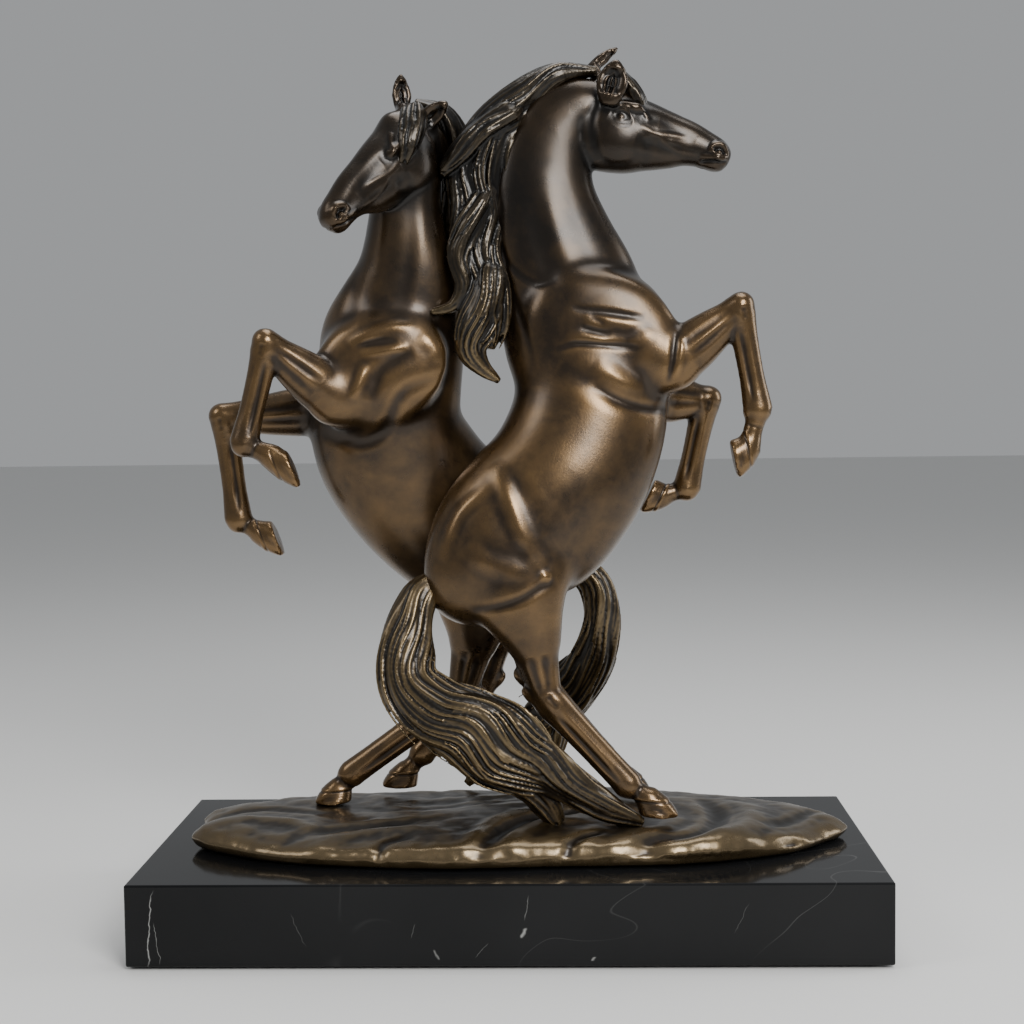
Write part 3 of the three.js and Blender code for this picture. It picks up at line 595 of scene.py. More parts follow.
# Each point is a place in the box round all of one horse's castings, as shares of its X, Y and Z. Two more
# numbers are half width (towards the horse's side) and half depth, in millimetres at the nominal size. A
# leg's last entry is the way its toe points. An ear has its middle, the way it points, the way it opens,
# and its half length, half width and half thickness.
FIGURES = {
    "right_horse": {
        "torso": [
            (0.481, 0.667, 0.704, 17, 31), (0.507, 0.656, 0.638, 24, 38), (0.539, 0.633, 0.575, 27, 37.5),
            (0.539, 0.611, 0.528, 27.5, 38.5), (0.512, 0.577, 0.480, 28, 39.5), (0.465, 0.532, 0.436, 28, 40),
            (0.397, 0.487, 0.396, 26, 41), (0.323, 0.453, 0.362, 25, 38.5), (0.275, 0.431, 0.327, 23.5, 34),
            (0.254, 0.419, 0.296, 20, 28), (0.260, 0.419, 0.267, 13, 17), (0.265, 0.419, 0.254, 5, 7),
        ],
        "neck": [
            (0.497, 0.656, 0.657, 20, 36), (0.476, 0.667, 0.688, 19, 36.5), (0.444, 0.667, 0.733, 16.5, 34),
            (0.423, 0.667, 0.781, 14.5, 30), (0.418, 0.667, 0.825, 13, 26), (0.433, 0.667, 0.868, 12, 23.5),
            (0.470, 0.667, 0.899, 11, 20.5), (0.523, 0.667, 0.915, 10, 16),
        ],
        "poll": (0.549, 0.667, 0.920), "muzzle": (0.897, 0.667, 0.854), "side": (0, 1, 0),
        "ears": [
            ((0.602, 0.500, 0.944), (0.22, -0.1, 1), (-0.15, -1, -0.1), 10.9, 8.0, 3.6),
            ((0.581, 0.757, 0.984), (1, 0.15, 0.75), (0.5, -0.7, -0.6), 9.8, 3.5, 2.6),
        ],
        "near_foreleg": foreleg_plan(
            (0.639, 0.487, 0.630), (0.739, 0.476, 0.583), (0.918, 0.442, 0.654), (0.965, 0.442, 0.525),
            (0.940, 0.442, 0.478), (0.901, 0.442, 0.464), (0.2, 0, -0.98)),
        "far_foreleg": foreleg_plan(
            (0.639, 0.824, 0.599), (0.713, 0.858, 0.544), (0.849, 0.914, 0.538), (0.797, 0.914, 0.420),
            (0.731, 0.914, 0.411), (0.692, 0.914, 0.413), (-0.45, 0, -0.89)),
        "near_hind_leg": hind_leg_plan(
            (0.333, 0.352, 0.367), (0.354, 0.296, 0.288), (0.386, 0.296, 0.238), (0.418, 0.284, 0.164),
            (0.626, 0.262, 0.051), (0.673, 0.251, 0.035), (0.699, 0.251, 0.012), (1, 0, -0.04)),
        "far_hind_leg": hind_leg_plan(
            (0.333, 0.543, 0.367), (0.344, 0.588, 0.288), (0.370, 0.611, 0.238), (0.391, 0.644, 0.172),
            (0.570, 0.689, 0.064), (0.618, 0.712, 0.040), (0.639, 0.712, 0.018), (1, 0, 0)),
        "tail": [[
            (0.165, 0.419, 0.320, 6, 7), (0.112, 0.386, 0.301, 7, 8), (0.075, 0.329, 0.264, 8, 10),
            (0.065, 0.262, 0.225, 8, 12.5), (0.081, 0.194, 0.185, 8, 14), (0.144, 0.127, 0.154, 8, 16),
            (0.228, 0.093, 0.133, 8, 18.5), (0.312, 0.082, 0.109, 7.5, 20.5), (0.370, 0.100, 0.088, 6.5, 16),
            (0.430, 0.125, 0.066, 4, 9),
        ], [
            (0.235, 0.094, 0.122, 5.5, 12), (0.325, 0.100, 0.092, 6.2, 13),
            (0.386, 0.149, 0.059, 5.5, 10), (0.423, 0.183, 0.027, 4.5, 6.5),
            (0.449, 0.206, 0.003, 2.5, 2.5),
        ], [
            (0.250, 0.090, 0.130, 5.5, 12), (0.365, 0.100, 0.100, 6.2, 12.5),
            (0.470, 0.127, 0.064, 5.5, 9), (0.570, 0.172, 0.027, 4.5, 6),
            (0.660, 0.228, 0.005, 2.5, 2),
        ]],
        "mane": [[
            (0.565, 0.667, 0.965, 5, 4), (0.465, 0.667, 0.960, 8, 6), (0.376, 0.667, 0.933, 10, 8.5),
            (0.307, 0.656, 0.894, 11, 12), (0.262, 0.644, 0.847, 11, 14.5), (0.245, 0.633, 0.789, 11, 15.5),
            (0.254, 0.611, 0.736, 11, 14), (0.276, 0.577, 0.688, 10, 12.5), (0.282, 0.543, 0.645, 8.5, 10),
            (0.275, 0.535, 0.608, 5, 5),
        ], [
            (0.365, 0.599, 0.920, 6, 7), (0.270, 0.554, 0.886, 6, 6), (0.207, 0.543, 0.857, 4.5, 5),
            (0.160, 0.554, 0.833, 2, 2),
        ], [
            (0.290, 0.570, 0.815, 5, 6), (0.232, 0.520, 0.768, 5.5, 6), (0.203, 0.500, 0.728, 4.5, 5),
            (0.215, 0.498, 0.690, 4, 4), (0.190, 0.498, 0.664, 2.8, 2.6), (0.130, 0.498, 0.656, 1.4, 1.4),
        ], [
            (0.292, 0.545, 0.725, 5, 7), (0.275, 0.505, 0.680, 7, 8.5), (0.248, 0.490, 0.638, 8, 9.5),
            (0.236, 0.490, 0.608, 6.5, 7.5), (0.262, 0.490, 0.584, 3.6, 4), (0.306, 0.490, 0.566, 1.4, 1.4),
        ]],
        "forelock": [[
            (0.586, 0.656, 0.962, 5, 4), (0.634, 0.633, 0.949, 5, 3.5), (0.670, 0.622, 0.926, 3.5, 3),
            (0.686, 0.622, 0.907, 1.5, 1.5),
        ]],
    },
    "left_horse": {
        "torso": [
            (0.475, 0.458, 0.717, 16, 27), (0.456, 0.487, 0.660, 23, 35.5), (0.446, 0.515, 0.602, 26, 36.5),
            (0.432, 0.553, 0.553, 27, 38), (0.441, 0.590, 0.507, 28, 39.5), (0.480, 0.628, 0.465, 28, 40),
            (0.537, 0.665, 0.424, 27, 40), (0.614, 0.703, 0.386, 25.5, 40), (0.701, 0.731, 0.353, 23.5, 38),
            (0.773, 0.750, 0.323, 20, 31), (0.816, 0.759, 0.298, 13, 20), (0.835, 0.759, 0.285, 6, 8),
        ],
        "neck": [
            (0.470, 0.468, 0.668, 19, 31), (0.480, 0.458, 0.701, 18, 30), (0.494, 0.449, 0.742, 17, 26.5),
            (0.494, 0.440, 0.781, 16, 22), (0.494, 0.430, 0.822, 14.5, 18.5), (0.504, 0.411, 0.860, 13, 16),
            (0.513, 0.393, 0.898, 12, 14), (0.518, 0.383, 0.931, 10, 11),
        ],
        "poll": (0.523, 0.402, 0.937), "muzzle": (0.331, 0.064, 0.801), "side": (-0.67, 0.74, 0),
        "ears": [
            ((0.488, 0.450, 0.979), (-0.03, 0, 1), (0.45, -0.9, 0), 10.0, 5.2, 3.0),
            ((0.566, 0.346, 0.947), (0.9, -0.2, 0.66), (0.25, -0.9, -0.3), 9.6, 5.2, 3.2),
        ],
        "near_foreleg": foreleg_plan(
            (0.432, 0.336, 0.619), (0.336, 0.289, 0.567), (0.182, 0.148, 0.641), (0.125, 0.129, 0.512),
            (0.187, 0.129, 0.496), (0.240, 0.129, 0.479), (0.35, 0, -0.94)),
        "far_foreleg": foreleg_plan(
            (0.413, 0.600, 0.613), (0.317, 0.618, 0.556), (0.038, 0.571, 0.545), (0.067, 0.562, 0.402),
            (0.118, 0.562, 0.386), (0.163, 0.562, 0.378), (0.35, 0, -0.93)),
        "near_hind_leg": hind_leg_plan(
            (0.701, 0.656, 0.350), (0.648, 0.628, 0.285), (0.638, 0.628, 0.235), (0.605, 0.618, 0.153),
            (0.326, 0.581, 0.041), (0.302, 0.581, 0.022), (0.286, 0.571, 0.002), (-1, 0, -0.04)),
        "far_hind_leg": hind_leg_plan(
            (0.739, 0.825, 0.345), (0.691, 0.863, 0.276), (0.677, 0.853, 0.230), (0.653, 0.835, 0.159),
            (0.494, 0.788, 0.057), (0.458, 0.778, 0.033), (0.441, 0.778, 0.011), (-1, 0, 0)),
        "tail": [[
            (0.816, 0.759, 0.307, 5, 6), (0.878, 0.769, 0.326, 6, 7), (0.931, 0.759, 0.307, 7, 8),
            (0.955, 0.759, 0.265, 7.5, 9), (0.945, 0.788, 0.219, 8, 10.5), (0.912, 0.844, 0.175, 8, 12),
            (0.859, 0.910, 0.137, 7.5, 14), (0.787, 0.938, 0.098, 7, 14.5),
        ], [
            (0.825, 0.929, 0.120, 6, 9), (0.825, 0.929, 0.071, 5.5, 7.5), (0.806, 0.919, 0.033, 4, 5),
            (0.787, 0.910, 0.004, 2.5, 2),
        ], [
            (0.806, 0.938, 0.109, 6, 9), (0.729, 0.938, 0.071, 5.5, 7.5), (0.662, 0.929, 0.038, 4, 5),
            (0.605, 0.919, 0.004, 2.5, 2),
        ]],
        "mane": [[
            (0.518, 0.449, 0.967, 5, 4), (0.581, 0.487, 0.950, 7, 5.5), (0.614, 0.524, 0.912, 8, 7.5),
            (0.619, 0.562, 0.863, 8, 10), (0.614, 0.581, 0.813, 8, 11), (0.624, 0.600, 0.764, 8, 12),
            (0.633, 0.618, 0.717, 8, 12), (0.633, 0.637, 0.674, 7, 9), (0.643, 0.637, 0.635, 3, 4),
        ], [
            (0.595, 0.581, 0.838, 6, 9), (0.576, 0.609, 0.783, 6.5, 9), (0.566, 0.647, 0.728, 6.5, 9),
            (0.547, 0.684, 0.674, 6, 7), (0.518, 0.712, 0.630, 2.5, 3),
        ], [
            (0.605, 0.506, 0.871, 6, 7), (0.643, 0.506, 0.838, 6, 7), (0.667, 0.506, 0.800, 5, 6),
            (0.677, 0.515, 0.759, 2, 3),
        ]],
        "forelock": [[
            (0.520, 0.364, 0.957, 5, 5.5), (0.520, 0.289, 0.934, 6.2, 6.5), (0.508, 0.248, 0.905, 6, 6),
            (0.494, 0.230, 0.876, 2.6, 2.6),
        ]],
    },
}

NOMINAL_HEIGHT = {"right_horse": 0.37953, "left_horse": 0.36500}
LEGS = ("near_foreleg", "far_foreleg", "near_hind_leg", "far_hind_leg")
CASTINGS = ("body", "neck", "head") + LEGS
HAIR = ("mane", "forelock", "tail")
FINE = ("head",) + LEGS
TRUNK_VOXEL = 0.0016
# Rounds that soften the trunk, and what is given back of the thickness that they take, in millimetres
TRUNK_ROUNDS = 28
TRUNK_SWELL = 0.25
# How far outside a casting's box the skin may still be its own, and how deep an open rim is turned in
CASTING_REACH = 0.006
RIM_DEPTH = 0.0014
# How far strokes on a leg reach through it, in millimetres, so that they miss the leg behind
LEG_REACH = 20
ROCK_VOXEL = 0.0012
SKIN_VOXEL = 0.00086
HAIR_VOXEL = 0.00057

HEAD_LENGTH = 70.6
# Share of the head's length, drop below its axis, half width, half depth
HEAD_SECTIONS = [
    (-0.06, 6, 8.5, 14), (0.12, 7.3, 11.6, 21.2), (0.28, 7, 12.4, 20), (0.42, 5.1, 11.2, 17.3),
    (0.57, 3.2, 9, 14.4),
    (0.71, 1.2, 7.6, 11.4), (0.84, 1.0, 7.2, 9.2), (0.94, 1.3, 7.4, 7.6), (1.01, 2.4, 5.6, 4.6),
    (1.03, 2.6, 3, 2.6),
]
# How far each horse's eye lies further down and below its usual place on the head, in millimetres
EYE_SHIFT = {"right_horse": (0, 0), "left_horse": (6, -2.2)}
# Half width and half depth at each level of the foot, in millimetres
PASTERN = (4.6, 4.7)
CORONET = (6.0, 6.4)
SOLE = (7.6, 9.0)


def union_box(names):
    lows, highs = zip(*(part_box(name) for name in names))
    return (Vector([min(p[i] for p in lows) for i in range(3)]),
            Vector([max(p[i] for p in highs) for i in range(3)]))


class Figure:
    """Where everything is on one horse: its points, its size and which way it faces."""

    def __init__(self, horse):
        self.horse = horse
        self.plan = FIGURES[horse]
        self.low, self.high = union_box([f"{horse}_{part}" for part in CASTINGS + HAIR])
        self.unit = MM * (self.high.z - self.low.z) / NOMINAL_HEIGHT[horse]
        self.forward = 1 if horse == "right_horse" else -1
        poll, muzzle = self.at(self.plan["poll"]), self.at(self.plan["muzzle"])
        self.poll = poll
        self.head_along = (muzzle - poll).normalized()
        side = Vector(self.plan["side"]).normalized()
        side = (side - self.head_along * side.dot(self.head_along)).normalized()
        up = side.cross(self.head_along)
        self.head_up = up if up.z > 0 else -up
        self.head_side = side
        self.head_unit = (muzzle - poll).length / HEAD_LENGTH

    def at(self, share):
        return Vector([self.low[i] + (self.high[i] - self.low[i]) * share[i] for i in range(3)])

    def stations(self, rows):
        return [(self.at(row[:3]), row[3] * self.unit, row[4] * self.unit) for row in rows]

    def leg(self, name):
        plan = self.plan[name]
        places = {key: self.at(value) for key, value in plan.items() if key != "toe"}
        return places, Vector(plan["toe"]).normalized()

    def in_head(self, along, up, out=0.0):
        """A place on the head: along its axis from the poll, up from it, and out to a side."""
        return (self.poll + self.head_along * along * self.head_unit + self.head_up * up * self.head_unit
                + self.head_side * out * self.head_unit)


def blend_rows(rows, steps):
    """Stations along a smooth spine, with their sizes blended between them."""
    table = np.array([[*place, width, depth] for place, width, depth in rows])
    return [(Vector(row[:3]), max(row[3], 2e-4), max(row[4], 2e-4)) for row in rounded(table, steps)]


def tube(bm, rows, side=(0, 1, 0), steps=4, sides=28):
    """A closed tube through stations, each an ellipse set across the spine."""
    rows = blend_rows(rows, steps)
    places = [row[0] for row in rows]
    side = Vector(side).normalized()
    loops = []
    for i, (place, width, depth) in enumerate(rows):
        tangent = (places[min(i + 1, len(rows) - 1)] - places[max(i - 1, 0)]).normalized()
        across = (side - tangent * side.dot(tangent)).normalized()
        up = tangent.cross(across)
        turn = Matrix((across * width, up * depth, tangent)).transposed().to_4x4()
        matrix = Matrix.Translation(place) @ turn
        ring = bmesh.ops.create_circle(bm, segments=sides, radius=1, matrix=matrix)["verts"]
        loops.append(list({e for v in ring for e in v.link_edges}))
    for a, b in zip(loops, loops[1:]):
        bmesh.ops.bridge_loops(bm, edges=a + b)
    bmesh.ops.holes_fill(bm, edges=loops[0], sides=0)
    bmesh.ops.holes_fill(bm, edges=loops[-1], sides=0)


def mix(a, b, t):
    return a + (b - a) * t


def hoof(bm, sole, coronet, toe, unit):
    """A hoof wall between the sole and the coronet, leaning towards the toe."""
    forward = Vector(toe)
    normal = forward.cross(Vector((0, 1, 0))).normalized()
    if normal.dot(coronet - sole) < 0:
        normal = -normal
    across = forward.cross(normal)
    turn = Matrix((forward * SOLE[1] * unit, across * SOLE[0] * unit, coronet - sole)).transposed().to_4x4()
    bmesh.ops.create_cone(bm, cap_ends=True, segments=32, radius1=1, radius2=CORONET[1] / SOLE[1], depth=1,
                          matrix=Matrix.Translation((sole + coronet) / 2) @ turn)
    tip = sole + forward * SOLE[1] * 1.04 * unit + normal * 0.9 * unit
    tube(bm, [(coronet, 5.8 * unit, 6.4 * unit), (mix(coronet, tip, 0.45), 6.4 * unit, 5.2 * unit),
              (mix(coronet, tip, 0.8), 5.6 * unit, 2.8 * unit), (tip, 4.0 * unit, 0.8 * unit)])


def foreleg(bm, fig, name):
    joints, toe = fig.leg(name)
    u = fig.unit
    elbow, knee, fetlock = (joints[k] for k in ("elbow", "knee", "fetlock"))
    coronet, sole = joints["coronet"], joints["sole"]
    rise = (knee - elbow).normalized()
    drop = (fetlock - knee).normalized()
    front = (rise - drop).normalized()
    tube(bm, [(mix(elbow, knee, 0.12), 9.6 * u, 13.0 * u), (mix(elbow, knee, 0.35), 9.4 * u, 12.6 * u),
              (mix(elbow, knee, 0.62), 7.9 * u, 10.6 * u), (mix(elbow, knee, 0.86), 6.6 * u, 8.2 * u),
              (knee, 6.8 * u, 7.8 * u)])
    tube(bm, [(knee - drop * 3 * u, 5.8 * u, 6.4 * u), (knee + drop * 2 * u, 6.8 * u, 7.7 * u),
              (mix(knee, fetlock, 0.16), 5.8 * u, 7.0 * u), (mix(knee, fetlock, 0.36), 4.8 * u, 6.4 * u),
              (mix(knee, fetlock, 0.66), 4.7 * u, 6.2 * u), (mix(knee, fetlock, 0.86), 5.3 * u, 6.8 * u),
              (fetlock, 6.0 * u, 7.3 * u)])
    ellipsoid(bm, knee + front * 1.6 * u, (7.2 * u, 6.9 * u, 6.8 * u), rise - drop * 0.2)
    back = (fetlock - knee).cross(Vector((0, 1, 0))).normalized()
    back = back if back.dot(knee - elbow) < 0 else -back
    foot(bm, fig, fetlock, coronet, sole, toe, back)


def upper_foreleg(bm, fig, name):
    joints, _ = fig.leg(name)
    u = fig.unit
    top, elbow, knee = (joints[k] for k in ("top", "elbow", "knee"))
    tube(bm, [(top, 6 * u, 9 * u), (mix(top, elbow, 0.4), 11.4 * u, 17.4 * u), (elbow, 11 * u, 14.8 * u),
              (mix(elbow, knee, 0.3), 10 * u, 12 * u), (mix(elbow, knee, 0.66), 6.8 * u, 8.2 * u)])
    # Muscle bellies of the forearm, above and below the bone
    belly = (knee - elbow).cross(Vector((0, 1, 0))).normalized()
    belly = belly if belly.z > 0 else -belly
    muscle(bm, mix(elbow, knee, -0.15) + belly * 5 * u, mix(elbow, knee, 0.74) + belly * 1.4 * u, 8, 7.2)
    muscle(bm, mix(elbow, knee, -0.15) - belly * 5 * u, mix(elbow, knee, 0.6) - belly * 2 * u, 7.4, 6.6)


def foot(bm, fig, fetlock, coronet, sole, toe, back):
    u = fig.unit
    ellipsoid(bm, fetlock, (6.6 * u, 6.0 * u, 6.6 * u), coronet - fetlock)
    ellipsoid(bm, fetlock + back * 3.6 * u, (4.2 * u, 4.6 * u, 4.0 * u), coronet - fetlock)
    tube(bm, [(fetlock, 5.4 * u, 5.8 * u), (mix(fetlock, coronet, 0.5), PASTERN[0] * u, PASTERN[1] * u),
              (mix(fetlock, coronet, 0.85), 5.5 * u, 5.6 * u),
              (mix(fetlock, coronet, 1.08), 6.0 * u, 6.0 * u)])
    hoof(bm, sole, coronet, toe, u)


def hind_leg(bm, fig, name):
    joints, toe = fig.leg(name)
    u = fig.unit
    stifle, gaskin, hock, fetlock = (joints[k] for k in ("stifle", "gaskin", "hock", "fetlock"))
    coronet, sole = joints["coronet"], joints["sole"]
    shank = (hock - gaskin).normalized()
    cannon = (fetlock - hock).normalized()
    rear = (shank - cannon).normalized()
    tube(bm, [(mix(gaskin, hock, 0.1), 8.6 * u, 12 * u), (mix(gaskin, hock, 0.5), 7.2 * u, 9.6 * u),
              (hock, 6.4 * u, 7.6 * u)])
    tube(bm, [(hock - cannon * 4 * u, 6.0 * u, 7.0 * u), (hock + cannon * 4 * u, 7.0 * u, 8.6 * u),
              (mix(hock, fetlock, 0.24), 5.8 * u, 7.8 * u), (mix(hock, fetlock, 0.5), 5.2 * u, 7.2 * u),
              (mix(hock, fetlock, 0.8), 5.3 * u, 7.0 * u), (fetlock, 6.0 * u, 7.2 * u)])
    point = hock + rear * 4.4 * u - cannon * 3 * u
    ellipsoid(bm, point, (7.5 * u, 4.2 * u, 3.8 * u), cannon - shank * 0.25)
    muscle(bm, point, mix(gaskin, stifle, 0.2) + rear * 7 * u, 3.0, 3.2)
    back = rear if rear.dot(Vector((fig.forward, 0, 0))) < 0 else -rear
    foot(bm, fig, fetlock, coronet, sole, toe, back)


def upper_hind_leg(bm, fig, name):
    joints, _ = fig.leg(name)
    u = fig.unit
    hip, stifle, gaskin, hock = (joints[k] for k in ("hip", "stifle", "gaskin", "hock"))
    tube(bm, [(hip, 13 * u, 27 * u), (mix(hip, stifle, 0.5), 14 * u, 28.4 * u), (stifle, 12.8 * u, 24 * u),
              (gaskin, 10.2 * u, 15 * u), (mix(gaskin, hock, 0.5), 7.4 * u, 9.6 * u)], sides=36)
    start = mix(gaskin, stifle, 0.9) + Vector((fig.forward * 3 * u, 0, 0))
    muscle(bm, start, mix(gaskin, hock, 0.6), 9.4, 9.6)


def ear(bm, fig, place, axis, open_to, length, width, thick):
    """An ear as a leaf with a pointed tip: its cup is carved later."""
    u = fig.unit
    centre, axis = fig.at(place), Vector(axis).normalized()
    tube(bm, [(centre - axis * length * 1.05 * u, width * 0.5 * u, thick * u),
              (centre - axis * length * 0.5 * u, width * 0.86 * u, thick * 1.05 * u),
              (centre, width * u, thick * u),
              (centre + axis * length * 0.55 * u, width * 0.72 * u, thick * 0.8 * u),
              (centre + axis * length * 0.85 * u, width * 0.36 * u, thick * 0.55 * u),
              (centre + axis * length * u, width * 0.1 * u, thick * 0.3 * u)],
         side=axis.cross(Vector(open_to)))
    root = centre - axis * length * 0.6 * u
    skull = fig.in_head(4, 6)
    tube(bm, [(root, 3.4 * u, 3.2 * u), (mix(root, skull, 0.5), 4 * u, 4 * u), (skull, 5 * u, 5 * u)])


def head_base(bm, fig):
    rows = []
    for along, drop, width, depth in HEAD_SECTIONS:
        rows.append((fig.in_head(along * HEAD_LENGTH, -drop), width * fig.head_unit, depth * fig.head_unit))
    tube(bm, rows, side=fig.head_side, sides=32)
    h = fig.head_unit
    along, side = fig.head_along, fig.head_side
    down, drop = EYE_SHIFT[fig.horse]
    for out in (-1, 1):
        # Jaw, brow, cheek ridge and nostril
        ellipsoid(bm, fig.in_head(17.5, -10, out * 6.4), (15 * h, 6.6 * h, 14 * h), along, side)
        ellipsoid(bm, fig.in_head(17.5 + down, 3.8 + drop, out * 9.6), (7.4 * h, 2.6 * h, 3.0 * h),
                  along + fig.head_up * 0.3, side)
        muscle(bm, fig.in_head(24, -3.6, out * 9.5), fig.in_head(46, -4.2, out * 7.2), 1.9, 2.0, side)
        ellipsoid(bm, fig.in_head(66, -0.4, out * 5.0), (5.2 * h, 3.2 * h, 4.8 * h), along, side)
    ellipsoid(bm, fig.in_head(65.4, -6.4), (6.2 * h, 4.8 * h, 3.6 * h), along, side)
    muscle(bm, fig.in_head(20, 9), fig.in_head(58, 6.0), 4.2, 3.4, fig.head_side)
    crest = fig.stations(fig.plan["neck"])[-3:]
    tube(bm, crest + [(fig.in_head(8, -3), 9 * h, 15 * h), (fig.in_head(20, -6), 8 * h, 15 * h)])
    for plan in fig.plan["ears"]:
        ear(bm, fig, *plan)


# Muscles laid on the trunk: centre as shares of the figure's box, half sizes in millimetres along, out to the
# side and across, and the direction they run in. Each is repeated on the far side, across the given width.
TRUNK_MUSCLES = {
    "right_horse": [
        ((0.575, 0.470, 0.624), (40, 9.6, 31), (1, 0, -0.42), 0.36),
        ((0.664, 0.560, 0.648), (22, 12, 14), (-0.5, 0, 1), 0.16),
        ((0.290, 0.340, 0.345), (35, 12, 28), (0.65, 0, 1), 0.20),
        ((0.375, 0.300, 0.285), (19, 9.5, 16), (0.3, 0, -1), 0.30),
        ((0.205, 0.360, 0.320), (20, 9, 13), (0.35, 0, 1), 0.13),
    ],
    "left_horse": [
        ((0.430, 0.300, 0.608), (36, 9.0, 28), (1, 0, 0.4), 0.34),
        ((0.355, 0.390, 0.635), (21, 11, 13), (0.45, 0, 1), 0.18),
        ((0.700, 0.640, 0.345), (33, 12, 26), (-0.8, 0, 1), 0.18),
        ((0.640, 0.610, 0.285), (16, 10, 14), (-0.3, 0, -1), 0.28),
    ],
}


def trunk_muscles(bm, fig):
    u = fig.unit / MM
    for place, radii, along, across in TRUNK_MUSCLES[fig.horse]:
        for shift in (0, across):
            centre = fig.at((place[0], place[1] + shift, place[2]))
            ellipsoid(bm, centre, [r * u * MM for r in radii], along, detail=4)


def trunk_of(fig):
    """Body, neck and upper legs with their muscles, run together and softened so that they flow."""
    bm = bmesh.new()
    tube(bm, fig.stations(fig.plan["torso"]), sides=48)
    tube(bm, fig.stations(fig.plan["neck"]), sides=40)
    trunk_muscles(bm, fig)
    for name in LEGS[:2]:
        upper_foreleg(bm, fig, name)
    for name in LEGS[2:]:
        upper_hind_leg(bm, fig, name)
    bmesh.ops.recalc_face_normals(bm, faces=bm.faces)
    clay = Clay(keep_outer(voxels(bm, fig.horse + "_trunk", TRUNK_VOXEL)))
    clay.soften(TRUNK_ROUNDS)
    clay.co += clay.normal * TRUNK_SWELL * fig.unit
    mesh = clay.finish()
    bm = bmesh.new()
    bm.from_mesh(mesh)
    return bm


def skin_of(fig):
    """One horse's trunk, limbs and head, run together before the surface is worked."""
    bm = bmesh.new()
    head_base(bm, fig)
    for name in LEGS[:2]:
        foreleg(bm, fig, name)
    for name in LEGS[2:]:
        hind_leg(bm, fig, name)
    bmesh.ops.recalc_face_normals(bm, faces=bm.faces)
    append(bm, trunk_of(fig))
    return bm


def own_castings(mesh, horse):
    """Which casting each face is nearest to."""
    count = len(mesh.polygons)
    centres = np.empty(count * 3)
    mesh.polygons.foreach_get("center", centres)
    centres = centres.reshape(-1, 3)
    owner = np.zeros(count, dtype=np.int32)
    best = np.full(count, np.inf)
    for k, name in enumerate(CASTINGS):
        low, high = (np.array(c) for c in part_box(f"{horse}_{name}"))
        inside = (centres > low - CASTING_REACH) & (centres < high + CASTING_REACH)
        near = np.nonzero(np.all(inside, axis=1))[0]
        bm = merged_copy(f"{horse}_{name}")
        tree = BVHTree.FromBMesh(bm)
        bm.free()
        gaps = np.array([tree.find_nearest(c)[3] for c in centres[near].tolist()])
        closer = gaps < best[near]
        owner[near[closer]] = k
        best[near[closer]] = gaps[closer]
    return owner


def settled(mesh, owner, rounds=24):
    """Lets each face take the casting that most of its neighbours have, so that the seams run clean."""
    loops = np.empty(len(mesh.loops), dtype=np.int64)
    mesh.loops.foreach_get("edge_index", loops)
    starts = np.empty(len(mesh.polygons), dtype=np.int64)
    totals = np.empty(len(mesh.polygons), dtype=np.int64)
    mesh.polygons.foreach_get("loop_start", starts)
    mesh.polygons.foreach_get("loop_total", totals)
    face = np.repeat(np.arange(len(starts)), totals)
    order = np.argsort(loops, kind="stable")
    edge, face = loops[order], face[order]
    twin = np.nonzero(edge[1:] == edge[:-1])[0]
    a, b = face[twin], face[twin + 1]
    for _ in range(rounds):
        votes = np.zeros((len(CASTINGS), len(owner)))
        for k in range(len(CASTINGS)):
            votes[k] = np.bincount(a, owner[b] == k, len(owner)) + np.bincount(b, owner[a] == k, len(owner))
            votes[k] += 1.1 * (owner == k)
        owner = votes.argmax(0).astype(np.int32)
    return owner


def refine_fine_parts(mesh, horse):
    """Marks each face with its casting and halves the mesh of the head and the legs."""
    owner = settled(mesh, own_castings(mesh, horse))
    layer = mesh.attributes.new("casting", "INT", "FACE")
    layer.data.foreach_set("value", owner)
    bm = bmesh.new()
    bm.from_mesh(mesh)
    tag = bm.faces.layers.int["casting"]
    fine = {CASTINGS.index(name) for name in FINE}
    edges = {e for f in bm.faces if f[tag] in fine for e in f.edges}
    bmesh.ops.subdivide_edges(bm, edges=list(edges), cuts=1, use_grid_fill=True)
    bm.to_mesh(mesh)
    bm.free()
    mesh.update()


def sink_rims(bm):
    """Turns each open rim in below the skin, so that what closes it never shows."""
    rims = [e for e in bm.edges if e.is_boundary]
    inward = {}
    for vert in {v for e in rims for v in e.verts}:
        inward[vert.co.to_tuple(7)] = -vert.normal * RIM_DEPTH
    turned = bmesh.ops.extrude_edge_only(bm, edges=rims)["geom"]
    for vert in [v for v in turned if isinstance(v, bmesh.types.BMVert)]:
        vert.co += inward[vert.co.to_tuple(7)]


